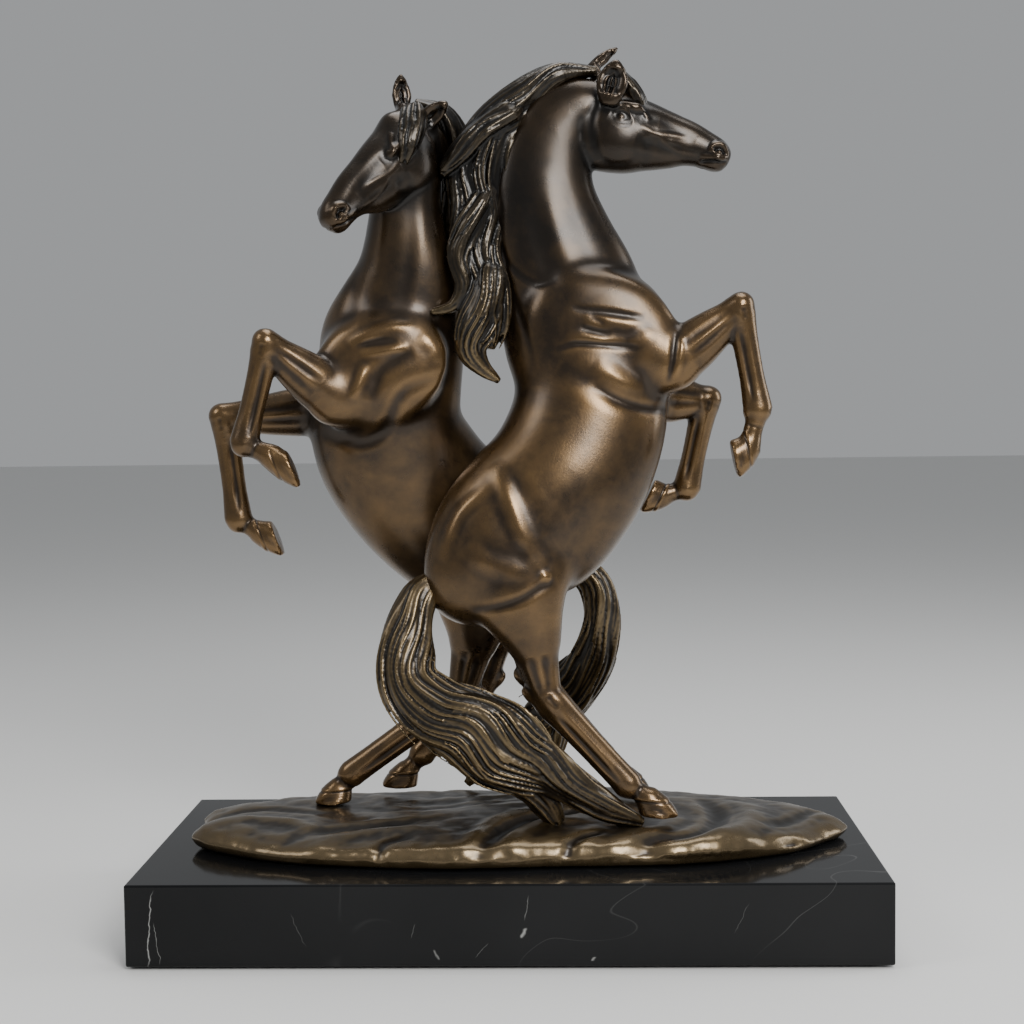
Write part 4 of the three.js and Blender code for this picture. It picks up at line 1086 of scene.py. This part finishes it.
def split_by_casting(mesh, horse):
    """Cuts the finished skin into one closed piece for each casting, keeping the whole skin's normals."""
    whole_normal = normals_of(mesh)
    layer = mesh.attributes.new("whole", "INT", "POINT")
    layer.data.foreach_set("value", np.arange(len(mesh.vertices), dtype=np.int32))
    pieces = {}
    for k, name in enumerate(CASTINGS):
        bm = bmesh.new()
        bm.from_mesh(mesh)
        tag = bm.faces.layers.int["casting"]
        bmesh.ops.delete(bm, geom=[f for f in bm.faces if f[tag] != k], context="FACES")
        sink_rims(bm)
        bmesh.ops.holes_fill(bm, edges=[e for e in bm.edges if e.is_boundary], sides=0)
        bmesh.ops.triangulate(bm, faces=[f for f in bm.faces if len(f.verts) > 4])
        piece = mesh_of(bm, f"{horse}_{name}_bronze")
        order = np.empty(len(piece.vertices), dtype=np.int32)
        piece.attributes["whole"].data.foreach_get("value", order)
        for extra in ("whole", "casting"):
            piece.attributes.remove(piece.attributes[extra])
        smooth_shaded(piece)
        piece.normals_split_custom_set_from_vertices(whole_normal[order].tolist())
        pieces[name] = piece
    return pieces


# ------------------------------------------------------------------ working the surface

# Creases and folds on the trunk, as shares of the body casting's box: path, width, height (below zero carves)
TRUNK_STROKES = {
    "right_horse": [
        ([(0.54, 0.31, 0.90), (0.58, 0.31, 0.89), (0.68, 0.33, 0.88), (0.80, 0.41, 0.865)], 2.6, -0.75),
        ([(0.48, 0.27, 0.785), (0.51, 0.27, 0.79), (0.57, 0.25, 0.80), (0.73, 0.29, 0.79),
          (0.78, 0.3, 0.785)], 2.4, -0.8),
        ([(0.57, 0.27, 0.845), (0.63, 0.27, 0.83), (0.68, 0.27, 0.82)], 2.6, -0.6),
        ([(0.52, 0.27, 0.825), (0.60, 0.25, 0.815), (0.70, 0.26, 0.80)], 4.4, 0.5),
        ([(0.58, 0.27, 0.865), (0.70, 0.30, 0.855), (0.80, 0.33, 0.84)], 5, 0.6),
        ([(0.50, 0.27, 0.745), (0.61, 0.21, 0.69), (0.72, 0.22, 0.645), (0.82, 0.31, 0.625),
          (0.90, 0.50, 0.62)], 9, -0.9),
        ([(0.61, 0.21, 0.685), (0.72, 0.22, 0.64), (0.82, 0.31, 0.62), (0.90, 0.50, 0.615)], 4, -0.9),
        ([(0.62, 0.21, 0.745), (0.72, 0.22, 0.70), (0.80, 0.30, 0.68)], 7, 0.7),
        ([(0.60, 0.28, 0.875), (0.64, 0.28, 0.86), (0.66, 0.28, 0.845)], 2.2, -0.45),
        ([(0.74, 0.29, 0.80), (0.79, 0.31, 0.815), (0.82, 0.34, 0.84)], 5, 0.5),
        ([(0.91, 0.50, 0.83), (0.895, 0.25, 0.75), (0.88, 0.32, 0.69)], 2.6, -1.0),
        ([(0.93, 0.50, 0.82), (0.92, 0.25, 0.75), (0.905, 0.32, 0.70)], 2.6, 0.7),
        ([(0.26, 0.14, 0.48), (0.28, 0.14, 0.45), (0.31, 0.07, 0.39), (0.35, 0.03, 0.31), (0.40, 0.05, 0.24),
          (0.45, 0.06, 0.215)], 7, 1.0),
        ([(0.32, 0.12, 0.48), (0.34, 0.12, 0.44), (0.385, 0.06, 0.37), (0.43, 0.05, 0.29)], 8, -0.5),
        ([(0.23, 0.12, 0.42), (0.27, 0.12, 0.36), (0.31, 0.05, 0.28)], 8, -0.35),
        ([(0.16, 0.04, 0.27), (0.23, 0.02, 0.22), (0.34, 0.01, 0.20), (0.41, 0.04, 0.23)], 8, 0.8),
        ([(0.42, 0.04, 0.185), (0.46, 0.04, 0.175)], 3.6, 1.0),
        ([(0.17, 0.04, 0.09), (0.26, 0.04, 0.10), (0.35, 0.00, 0.12), (0.42, 0.02, 0.15),
          (0.48, 0.06, 0.165)], 3.6, -0.75),
        ([(0.26, 0.11, 0.42), (0.14, 0.12, 0.35), (0.07, 0.12, 0.22)], 5, 0.9),
    ],
    "left_horse": [
        ([(0.04, 0.40, 0.61), (0.11, 0.25, 0.59), (0.21, 0.19, 0.58), (0.28, 0.17, 0.60), (0.33, 0.16, 0.65),
          (0.36, 0.15, 0.70), (0.40, 0.15, 0.73), (0.47, 0.19, 0.75), (0.55, 0.29, 0.76)], 5, -0.8),
        ([(0.18, 0.17, 0.85), (0.25, 0.14, 0.88), (0.33, 0.13, 0.90), (0.42, 0.15, 0.90)], 4.5, 0.9),
        ([(0.22, 0.13, 0.825), (0.31, 0.12, 0.835), (0.40, 0.14, 0.845)], 3.4, 0.8),
        ([(0.20, 0.13, 0.85), (0.28, 0.12, 0.86), (0.36, 0.13, 0.865)], 3.0, -0.6),
        ([(0.42, 0.14, 0.83), (0.34, 0.12, 0.80), (0.29, 0.10, 0.77), (0.25, 0.08, 0.70)], 6, -0.9),
        ([(0.24, 0.12, 0.80), (0.22, 0.10, 0.75), (0.19, 0.08, 0.70)], 4, 0.8),
        ([(0.44, 0.16, 0.88), (0.50, 0.2, 0.84), (0.50, 0.22, 0.80)], 6, 0.6),
    ],
}
# The neck's lines, as shares of the neck casting's box
NECK_STROKES = {
    "right_horse": [
        ([(0.12, 0.2, 0.30), (0.22, 0.2, 0.18), (0.42, 0.2, 0.10), (0.60, 0.2, 0.12)], 2.6, -0.5),
        ([(0.16, 0.2, 0.52), (0.14, 0.2, 0.30), (0.22, 0.2, 0.08), (0.34, 0.2, -0.12),
          (0.40, 0.2, -0.3)], 3.0, -0.5),
        ([(0.45, 0.2, 0.62), (0.60, 0.2, 0.30), (0.82, 0.2, 0.02)], 12, 0.7),
        ([(0.40, 0.2, 0.50), (0.52, 0.2, 0.20), (0.66, 0.2, -0.02)], 8, -0.4),
    ],
    "left_horse": [
        ([(0.30, 0.2, 0.60), (0.18, 0.2, 0.25), (0.10, 0.2, -0.10)], 6, -0.6),
        ([(0.45, 0.2, 0.70), (0.38, 0.2, 0.30), (0.30, 0.2, -0.05)], 9, 0.7),
        ([(0.62, 0.2, 0.72), (0.62, 0.2, 0.35), (0.52, 0.2, -0.05)], 7, -0.5),
    ],
}


def work_trunk(clay, fig):
    for part, strokes in (("body", TRUNK_STROKES), ("neck", NECK_STROKES)):
        for path, width, height in strokes[fig.horse]:
            points = [spot(f"{fig.horse}_{part}", p) for p in path]
            clay.stroke(points, width, height, flat=(0, 1, 0), taper=0.3)
    clay.refresh()


def work_head(clay, fig):
    place = fig.in_head
    down, drop = EYE_SHIFT[fig.horse]
    for out in (-1, 1):
        facing = fig.head_side * out

        def mark(points, width, height, far=11.0, **settings):
            path = [place(a, b, out * far) for a, b in points]
            clay.stroke(path, width, height, flat=fig.head_side, facing=facing, **settings)

        def lid(points, width, height, **settings):
            mark([(a + down, b + drop) for a, b in points], width, height, **settings)

        # The hollow and the brow of the eye, the planes of the face, the jaw line and the mouth
        lid([(10, -1.2), (16, -2.0), (22, -1.6)], 5.0, -0.4)
        lid([(9.5, 2.2), (14, 4.6), (20, 5.2), (25, 3.6)], 3.0, 0.5)
        mark([(22, -1), (27, 1.5), (34, 2.5)], 5, -0.4)
        mark([(28, 4), (42, 2.5), (54, 0.5)], 5, -0.4)
        mark([(26, -9), (38, -8.6), (50, -6.5)], 5, -0.45)
        mark([(2, 2), (3, -8), (6, -16), (12, -25)], 4.5, -0.9)
        mark([(31, -6), (34, -14), (33, -20)], 4.5, -0.3)
        mark([(59, -8.0), (64, -6.0), (69, -4.4), (73, -3.4)], 1.4, -0.9, taper=0.2)
        mark([(58, -6.0), (64, -4.2), (70, -2.6)], 2.2, 0.5)
        mark([(58, -10.2), (64, -8.6), (70, -6.8)], 2.2, 0.4)
        clay.refresh()
        # Eye: ball, lids and the creases round them
        eye = place(15.9 + down, -0.6 + drop, out * 10.5)
        clay.dab(project(clay, eye, facing), 2.3, 0.55, sharp=0.8)
        clay.refresh()
        lid([(11.4, -1.4), (13.2, 1.2), (16.2, 2.2), (19.6, 0.9), (21.4, -1.4)], 1.3, 0.36, taper=0.3)
        lid([(11.4, -1.4), (14.0, -3.4), (17.6, -3.2), (21.4, -1.4)], 1.1, 0.15, taper=0.3)
        lid([(11.0, 3.4), (15.6, 5.0), (20.4, 3.8)], 1.2, -0.25)
        lid([(12.4, -5.4), (17.0, -6.4), (21.4, -4.6)], 1.2, -0.08)
        mark([(19, 8.6), (24, 5.5), (29.5, 1.2)], 1.8, 0.5)
        # Nostril: a deep comma with a flared rim
        mark([(63.6, -0.8), (66.0, 1.2), (68.6, 0.6), (69.2, -1.4)], 2.0, -2.0, taper=0.1)
        mark([(62.0, -2.6), (62.6, 1.6), (66.0, 3.8), (70.0, 2.4)], 2.0, 0.6)
        mark([(64.5, -3.2), (68.5, -3.6), (70.8, -1.6)], 1.5, 0.6)
        # Veins on the cheek and the face
        mark([(25.8, -2.3), (33.5, -3.4), (42, -1.2), (50, 0.4)], 2.2, 0.3)
        mark([(36, -3.0), (40, -6.0), (48, -7.0), (58, -5.6)], 2.0, 0.2)
        clay.refresh()


def project(clay, point, facing):
    """The skin's point nearest to a line through a place, on the side that faces out."""
    gap = clay.co - np.array(point)
    out = np.array(facing)
    height = gap @ out
    away = np.linalg.norm(gap - np.outer(height, out), axis=1)
    near = np.nonzero((away < 0.0012) & (np.abs(height) < 0.012))[0]
    if not len(near):
        return point
    return Vector(clay.co[near[height[near].argmax()]])


def work_leg(clay, fig, name):
    joints, toe = fig.leg(name)
    u = fig.unit / MM
    upper, lower = ("elbow", "knee") if "knee" in joints else ("gaskin", "hock")
    start, middle, end = joints[upper], joints[lower], joints["fetlock"]
    coronet, sole = joints["coronet"], joints["sole"]
    line = (end - middle).normalized()
    back = line.cross(Vector((0, 1, 0))).normalized()
    if back.dot(middle - start) > 0 and lower == "knee":
        back = -back
    if lower == "hock" and back.x * fig.forward > 0:
        back = -back
    for out in (-1, 1):
        facing = (0, out, 0)
        shift = Vector((0, out * 6 * fig.unit, 0))

        def press(path, width, height):
            clay.stroke(path, width * u, height * u, flat=(0, 1, 0), facing=facing, deep=LEG_REACH * fig.unit)

        def groove(a, b, offset, width, height):
            move = back * offset * fig.unit + shift
            press([mix(middle, end, a) + move, mix(middle, end, (a + b) / 2) + move * 1.02,
                   mix(middle, end, b) + move], width, height)

        groove(0.16, 0.92, 1.8, 2.4, -0.6)
        groove(0.20, 0.90, 3.8, 1.8, 0.35)
        groove(0.14, 0.80, -1.6, 2.0, 0.25)
        groove(-0.02, 0.12, -1.5, 2.4, -0.3)
        # Forearm or gaskin: grooves between the muscles, closing towards the joint
        side_line = (middle - start).normalized().cross(Vector((0, 1, 0))).normalized()
        for lift, depth in ((3.2, -0.6), (-2.2, -0.55)):
            path = [mix(start, middle, 0.25) + side_line * lift * fig.unit * 1.3 + shift,
                    mix(start, middle, 0.6) + side_line * lift * fig.unit + shift,
                    mix(start, middle, 0.92) + side_line * lift * 0.6 * fig.unit + shift]
            press(path, 3.4, depth)
        # The crease of the pastern
        pastern = mix(end, coronet, 0.42)
        across = (coronet - end).cross(Vector((0, 1, 0))).normalized()
        press([pastern - across * 5 * fig.unit + shift, pastern + across * 5 * fig.unit + shift], 1.8, -0.2)
    clay.refresh()
    # Coronet band and growth rings, all the way round
    forward = Vector(toe)
    normal = forward.cross(Vector((0, 1, 0))).normalized()
    if normal.dot(coronet - sole) < 0:
        normal = -normal
    height = (coronet - sole).dot(normal)
    rel = clay.co - np.array(sole)
    level = rel @ np.array(normal) / height
    reach = np.linalg.norm(rel, axis=1)
    near = np.nonzero((reach < 15 * fig.unit) & (level > 0.12) & (level < 1.35))[0]
    band = np.exp(-((level[near] - 1.04) / 0.09) ** 2) * 0.22
    band = band - np.exp(-((level[near] - 0.88) / 0.07) ** 2) * 0.2
    rings = 0.02 * np.sin(level[near] * 34) * (level[near] < 0.85)
    clay.co[near] += clay.normal[near] * ((band + rings) * fig.unit)[:, None]
    clay.refresh()


def work_ears(clay, fig):
    """Carves the cups of the ears, with a few hairs standing in them."""
    u = fig.unit / MM
    for place, axis, open_to, length, width, thick in fig.plan["ears"]:
        centre, axis, facing = fig.at(place), Vector(axis).normalized(), Vector(open_to).normalized()
        step = axis * length * fig.unit
        path = [centre - step * 0.55, centre - step * 0.1, centre + step * 0.62]
        clay.stroke(path, width * 0.86 * u, -thick * 1.25 * u, flat=facing, facing=facing, taper=0.3,
                    sharp=0.7)
        clay.refresh()
        across = axis.cross(facing).normalized() * width * fig.unit
        for share in (-0.42, -0.1, 0.24):
            hair = [centre - step * 0.7 + across * share * 0.6, centre + across * share, centre + step * 0.45]
            clay.stroke(hair, 0.9 * u, 0.7 * u, flat=facing, facing=facing, taper=0.3)
    clay.refresh()


def build_skin(fig):
    horse = fig.horse
    mesh = keep_outer(voxels(skin_of(fig), horse + "_skin", SKIN_VOXEL))
    clay = Clay(mesh)
    clay.soften(4)
    clay.relax(10)
    work_trunk(clay, fig)
    clay.soften(2)
    mesh = clay.finish()
    refine_fine_parts(mesh, horse)
    clay = Clay(mesh)
    clay.relax(6)
    work_ears(clay, fig)
    work_head(clay, fig)
    for name in LEGS:
        work_leg(clay, fig, name)
    clay.relax(2)
    mesh = clay.finish()
    paint_relief(mesh, SKIN_VOXEL)
    for name, piece in split_by_casting(mesh, horse).items():
        made = new_object(piece.name, piece)
        finish_piece(made, "root", FIGURE_BRONZE, "bronze", f"{horse}_{name}")


# ------------------------------------------------------------------ hair

def lock_frames(rows, steps=7, side=(0, 1, 0)):
    """Places, side and up directions and sizes along one lock."""
    rows = blend_rows(rows, steps)
    places = [row[0] for row in rows]
    side = Vector(side)
    frames = []
    for i, (place, width, depth) in enumerate(rows):
        tangent = (places[min(i + 1, len(rows) - 1)] - places[max(i - 1, 0)]).normalized()
        across = (side - tangent * side.dot(tangent)).normalized()
        frames.append((place, across, tangent.cross(across), width, depth))
    return frames


def strand_curves(name, locks, unit, seed, gap=1.2, thick=0.8, side=(0, 1, 0), loose=7):
    """Tapered strands that run down each lock in loose waves, as one set of round curves made a mesh."""
    draw = np.random.default_rng(seed)
    data = bpy.data.curves.new(name, "CURVE")
    data.dimensions = "3D"
    data.bevel_depth = 1.0
    data.bevel_resolution = 1
    data.use_fill_caps = True
    for rows in locks:
        frames = lock_frames(rows, side=side)
        spans = [(frames[i + 1][0] - frames[i][0]).length for i in range(len(frames) - 1)]
        run = np.concatenate([[0], np.cumsum(spans)])
        length = run[-1]
        widest = max(f[3] + f[4] for f in frames)
        ways = max(7, int(math.pi * widest / (gap * unit)))
        swing = draw.uniform(0, math.tau)
        plans = []
        for k in range(ways):
            angle = math.tau * (k + draw.uniform(-0.3, 0.3)) / ways
            begin = 0.0
            while begin < 0.86:
                stop = begin + draw.uniform(0.4, 0.9)
                if stop > 0.8:
                    stop = draw.uniform(0.92, 1.0)
                plans.append((angle, begin, stop, draw.uniform(0.88, 1.02), draw.uniform(0.55, 1.35), 0.0))
                begin = stop - draw.uniform(0.02, 0.12) if stop < 0.86 else 1.0
        for _ in range(loose):
            begin = draw.uniform(0.1, 0.7)
            plans.append((draw.uniform(0, math.tau), begin, min(begin + draw.uniform(0.25, 0.45), 1.0), 1.0,
                          draw.uniform(0.8, 1.1), draw.uniform(0.05, 0.22)))
        for angle, begin, stop, lift, size, flick in plans:
            drift, phase = draw.uniform(-0.25, 0.25), draw.uniform(-0.5, 0.5)
            points = []
            for t in np.linspace(begin, stop, max(7, int((stop - begin) * length / (2.8 * MM)))):
                place, across, up, width, depth = at_share(frames, run, t * length)
                far = t * length / unit
                wave = 0.20 * math.sin(far * 0.10 + swing)
                wave += 0.07 * math.sin(far * 0.19 + swing + phase + angle)
                done = (t - begin) / (stop - begin)
                turn = angle + wave + drift * done + flick * 0.8 * done**2
                ridge = 0.07 * math.sin(5 * angle + 0.06 * far + swing)
                spread = lift + ridge + 0.12 * max(t - 0.85, 0) / 0.15 + flick * done**2
                tight = min(1.0, 0.45 + 5 * t)
                out = across * math.cos(turn) * width + up * math.sin(turn) * depth
                point = place + out * spread * tight
                taper = max(min((t - begin) / 0.10, (stop - t) / 0.16, 1), 0)
                points.append((point, unit * thick * size * (0.45 + 0.55 * taper**0.7)))
            spline = data.splines.new("POLY")
            spline.points.add(len(points) - 1)
            for target, (point, radius) in zip(spline.points, points):
                target.co = (*point, 1)
                target.radius = radius
    holder = new_object(name, data)
    mesh = bpy.data.meshes.new_from_object(holder)
    bpy.data.objects.remove(holder)
    bm = bmesh.new()
    bm.from_mesh(mesh)
    bmesh.ops.remove_doubles(bm, verts=bm.verts, dist=1e-7)
    bmesh.ops.recalc_face_normals(bm, faces=bm.faces)
    return bm


def at_share(frames, run, distance):
    i = int(np.clip(np.searchsorted(run, distance) - 1, 0, len(frames) - 2))
    t = (distance - run[i]) / max(run[i + 1] - run[i], 1e-9)
    a, b = frames[i], frames[i + 1]
    return tuple(a[j] + (b[j] - a[j]) * t for j in range(5))


def build_hair(fig, part, seed, **settings):
    locks = [fig.stations(lock) for lock in fig.plan[part]]
    bm = bmesh.new()
    for lock in locks:
        sizes = [0.3] + [0.93] * (len(lock) - 2) + [0.7]
        tube(bm, [(place, width * k, depth * k) for (place, width, depth), k in zip(lock, sizes)], sides=20)
    bmesh.ops.recalc_face_normals(bm, faces=bm.faces)
    append(bm, strand_curves(f"{fig.horse}_{part}_strands", locks, fig.unit, seed, **settings))
    mesh = voxels(bm, f"{fig.horse}_{part}_bronze", HAIR_VOXEL)
    keep_outer(mesh)
    clay = Clay(mesh)
    clay.relax(2)
    paint_relief(clay.finish())
    made = new_object(mesh.name, smooth_shaded(mesh))
    finish_piece(made, "root", HAIR_BRONZE, "bronze", f"{fig.horse}_{part}")


def build_horse(horse, seed):
    fig = Figure(horse)
    build_skin(fig)
    build_hair(fig, "mane", seed)
    build_hair(fig, "tail", seed + 1)
    build_hair(fig, "forelock", seed + 2, gap=1.2, thick=0.75, loose=5)


build_horse("right_horse", 11)
build_horse("left_horse", 23)

# ------------------------------------------------------------------ plinth, ground, fasteners

# Folds of the rock, as shares of its box: path, width and height in millimetres (below zero carves)
ROCK_FOLDS = [
    ([(0.44, -0.02), (0.46, 0.07), (0.50, 0.27), (0.56, 0.39), (0.62, 0.43)], 7, -2.6),
    ([(0.42, 0.00), (0.435, 0.10), (0.47, 0.30), (0.53, 0.44)], 8, 1.6),
    ([(0.49, 0.02), (0.51, 0.16), (0.56, 0.28), (0.63, 0.33)], 9, 1.2),
    ([(0.66, -0.02), (0.70, 0.10), (0.765, 0.19), (0.80, 0.45), (0.78, 0.71)], 8, -3.0),
    ([(0.70, 0.02), (0.755, 0.10), (0.82, 0.22), (0.85, 0.45), (0.83, 0.7)], 13, 2.4),
    ([(0.62, 0.02), (0.67, 0.14), (0.72, 0.30), (0.74, 0.5)], 9, 1.4),
    ([(0.00, 0.50), (0.06, 0.56), (0.12, 0.60), (0.23, 0.48)], 7, -1.5),
    ([(0.03, 0.40), (0.10, 0.42), (0.17, 0.36), (0.20, 0.2)], 9, 1.6),
    ([(0.15, 0.10), (0.19, 0.24), (0.27, 0.33), (0.40, 0.36)], 8, -1.6),
    ([(0.19, 0.04), (0.24, 0.18), (0.33, 0.24), (0.42, 0.22)], 10, 1.6),
    ([(0.22, 0.60), (0.35, 0.56), (0.48, 0.60), (0.60, 0.56)], 8, -1.1),
    ([(0.25, 0.80), (0.40, 0.74), (0.55, 0.78), (0.70, 0.86)], 10, 1.3),
    ([(0.86, 0.30), (0.91, 0.42), (0.95, 0.60)], 7, -1.6),
    ([(0.30, -0.02), (0.31, 0.10), (0.35, 0.16)], 5, -1.6),
    ([(0.57, -0.02), (0.58, 0.08), (0.63, 0.18)], 5, -1.6),
    ([(0.88, 0.08), (0.89, 0.18), (0.93, 0.24)], 5, -1.6),
]


def fractal(co, scale, octaves, ridged=False):
    """Noise at each point, smooth or with sharp crests."""
    places = (co * scale).tolist()
    if ridged:
        return np.array([noise_of.ridged_multi_fractal(p, 0.9, 2.1, octaves, 1.0, 2.0) for p in places])
    return np.array([noise_of.fractal(p, 0.9, 2.1, octaves) for p in places])


def build_ground():
    """The bronze rock: swells, folds, broken rim and chased texture over the plain casting."""
    mesh = keep_outer(voxels(merged_copy("bronze_ground"), "bronze_rock", ROCK_VOXEL))
    clay = Clay(mesh)
    clay.soften(9)
    low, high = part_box("bronze_ground")
    above = np.clip((clay.co[:, 2] - low.z - 0.001) / 0.003, 0, 1)
    top = np.clip((clay.normal[:, 2] + 0.25) / 0.5, 0, 1) * above
    for path, width, height in ROCK_FOLDS:
        points = [(low.x + (high.x - low.x) * x, low.y + (high.y - low.y) * y, high.z) for x, y in path]
        clay.stroke(points, width, height, flat=(0, 0, 1), facing=(0, 0, 1), taper=0.3)
    clay.refresh()
    side = np.clip(1 - np.abs(clay.normal[:, 2]), 0, 1)
    swell = fractal(clay.co, 26, 3) * 1.0 + fractal(clay.co + 3.1, 70, 4) * 0.45
    chased = (fractal(clay.co * np.array([1, 1, 0.35]) + 7.7, 90, 3, ridged=True) - 1.1) * 0.2
    clay.co += clay.normal * ((swell * top + chased * (0.25 * top + 0.9 * side) * (top > 0.02)) * MM)[:, None]
    clay.co[:, 2] = np.maximum(clay.co[:, 2], low.z)
    clay.relax(2)
    paint_relief(clay.finish(), 1.6 * MM)
    made = new_object("bronze_rock", smooth_shaded(mesh))
    finish_piece(made, "root", GROUND_BRONZE, "ground_bronze", "bronze_ground")


def build_plinth():
    """The marble block with its outer edges eased."""
    bm = merged_copy("marble_plinth")
    bmesh.ops.dissolve_limit(bm, angle_limit=math.radians(1), verts=bm.verts, edges=bm.edges)
    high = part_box("marble_plinth")[1]
    outer = [e for e in bm.edges if all(abs(abs(v.co.x) - high.x) < 1e-5 or abs(abs(v.co.y) - high.y) < 1e-5
                                        for v in e.verts)]
    bmesh.ops.bevel(bm, geom=outer, offset=0.0009, segments=3, profile=0.5, affect="EDGES", material=-1)
    mesh = mesh_of(bm, "marble_block")
    finish_piece(new_object("marble_block", mesh), "root", MARBLE, "black_marble", "marble_plinth")


def build_pad(node):
    """A felt disc with a soft worn edge."""
    low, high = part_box(node)
    bm = bmesh.new()
    radius = (high.x - low.x) / 2
    bmesh.ops.create_cone(bm, cap_ends=True, segments=56, radius1=radius, radius2=radius,
                          depth=high.z - low.z, matrix=Matrix.Translation((low + high) / 2))
    rims = [e for e in bm.edges if abs(e.verts[0].co.z - e.verts[1].co.z) < 1e-7]
    bmesh.ops.bevel(bm, geom=rims, offset=0.0004, segments=3, profile=0.5, affect="EDGES", material=-1)
    mesh = smooth_shaded(mesh_of(bm, node + "_felt"))
    finish_piece(new_object(node + "_felt", mesh), "root", FELT, "green_felt", node)


build_ground()
build_plinth()
for name, obj in NODES.items():
    if name.startswith(("stud", "washer", "nut")):
        obj.data.materials.clear()
        obj.data.materials.append(STEEL)
    elif name.startswith("felt"):
        build_pad(name)

# ------------------------------------------------------------------ stage


def plain(name, colour, roughness):
    material, _, shader = fresh(name)
    shader.inputs["Base Color"].default_value = (*colour, 1)
    shader.inputs["Roughness"].default_value = roughness
    return material


def make_stage():
    bm = bmesh.new()
    bmesh.ops.create_grid(bm, x_segments=1, y_segments=1, size=6)
    floor = new_object("floor", mesh_of(bm, "floor"))
    floor.data.materials.append(plain("pale_floor", (0.72, 0.72, 0.71), 0.7))
    world = bpy.data.worlds.new("studio")
    world.use_nodes = True
    world.node_tree.nodes["Background"].inputs["Color"].default_value = (0.83, 0.85, 0.87, 1)
    world.node_tree.nodes["Background"].inputs["Strength"].default_value = 0.42
    bpy.context.scene.world = world


def softbox(name, place, target, size, power, colour=(1, 1, 1)):
    data = bpy.data.lights.new(name, "AREA")
    data.shape = "RECTANGLE"
    data.size, data.size_y = size
    data.energy = power
    data.color = colour
    lamp = bpy.data.objects.new(name, data)
    aim = (Vector(target) - Vector(place)).to_track_quat("-Z", "Y")
    lamp.matrix_world = Matrix.Translation(place) @ aim.to_matrix().to_4x4()
    bpy.context.scene.collection.objects.link(lamp)


make_camera()
make_stage()
softbox("key", (0.42, -1.0, 0.80), (0, 0, 0.25), (0.42, 0.5), 13.5, (1, 0.99, 0.97))
softbox("left", (-0.85, -0.45, 0.9), (0, 0, 0.25), (0.35, 0.5), 2.6, (1, 0.99, 0.98))
softbox("top", (0.1, 0.1, 1.3), (0, 0, 0.2), (0.9, 0.6), 8)
softbox("side", (1.1, 0.1, 0.55), (0, 0, 0.25), (0.4, 0.8), 5, (0.97, 0.985, 1))
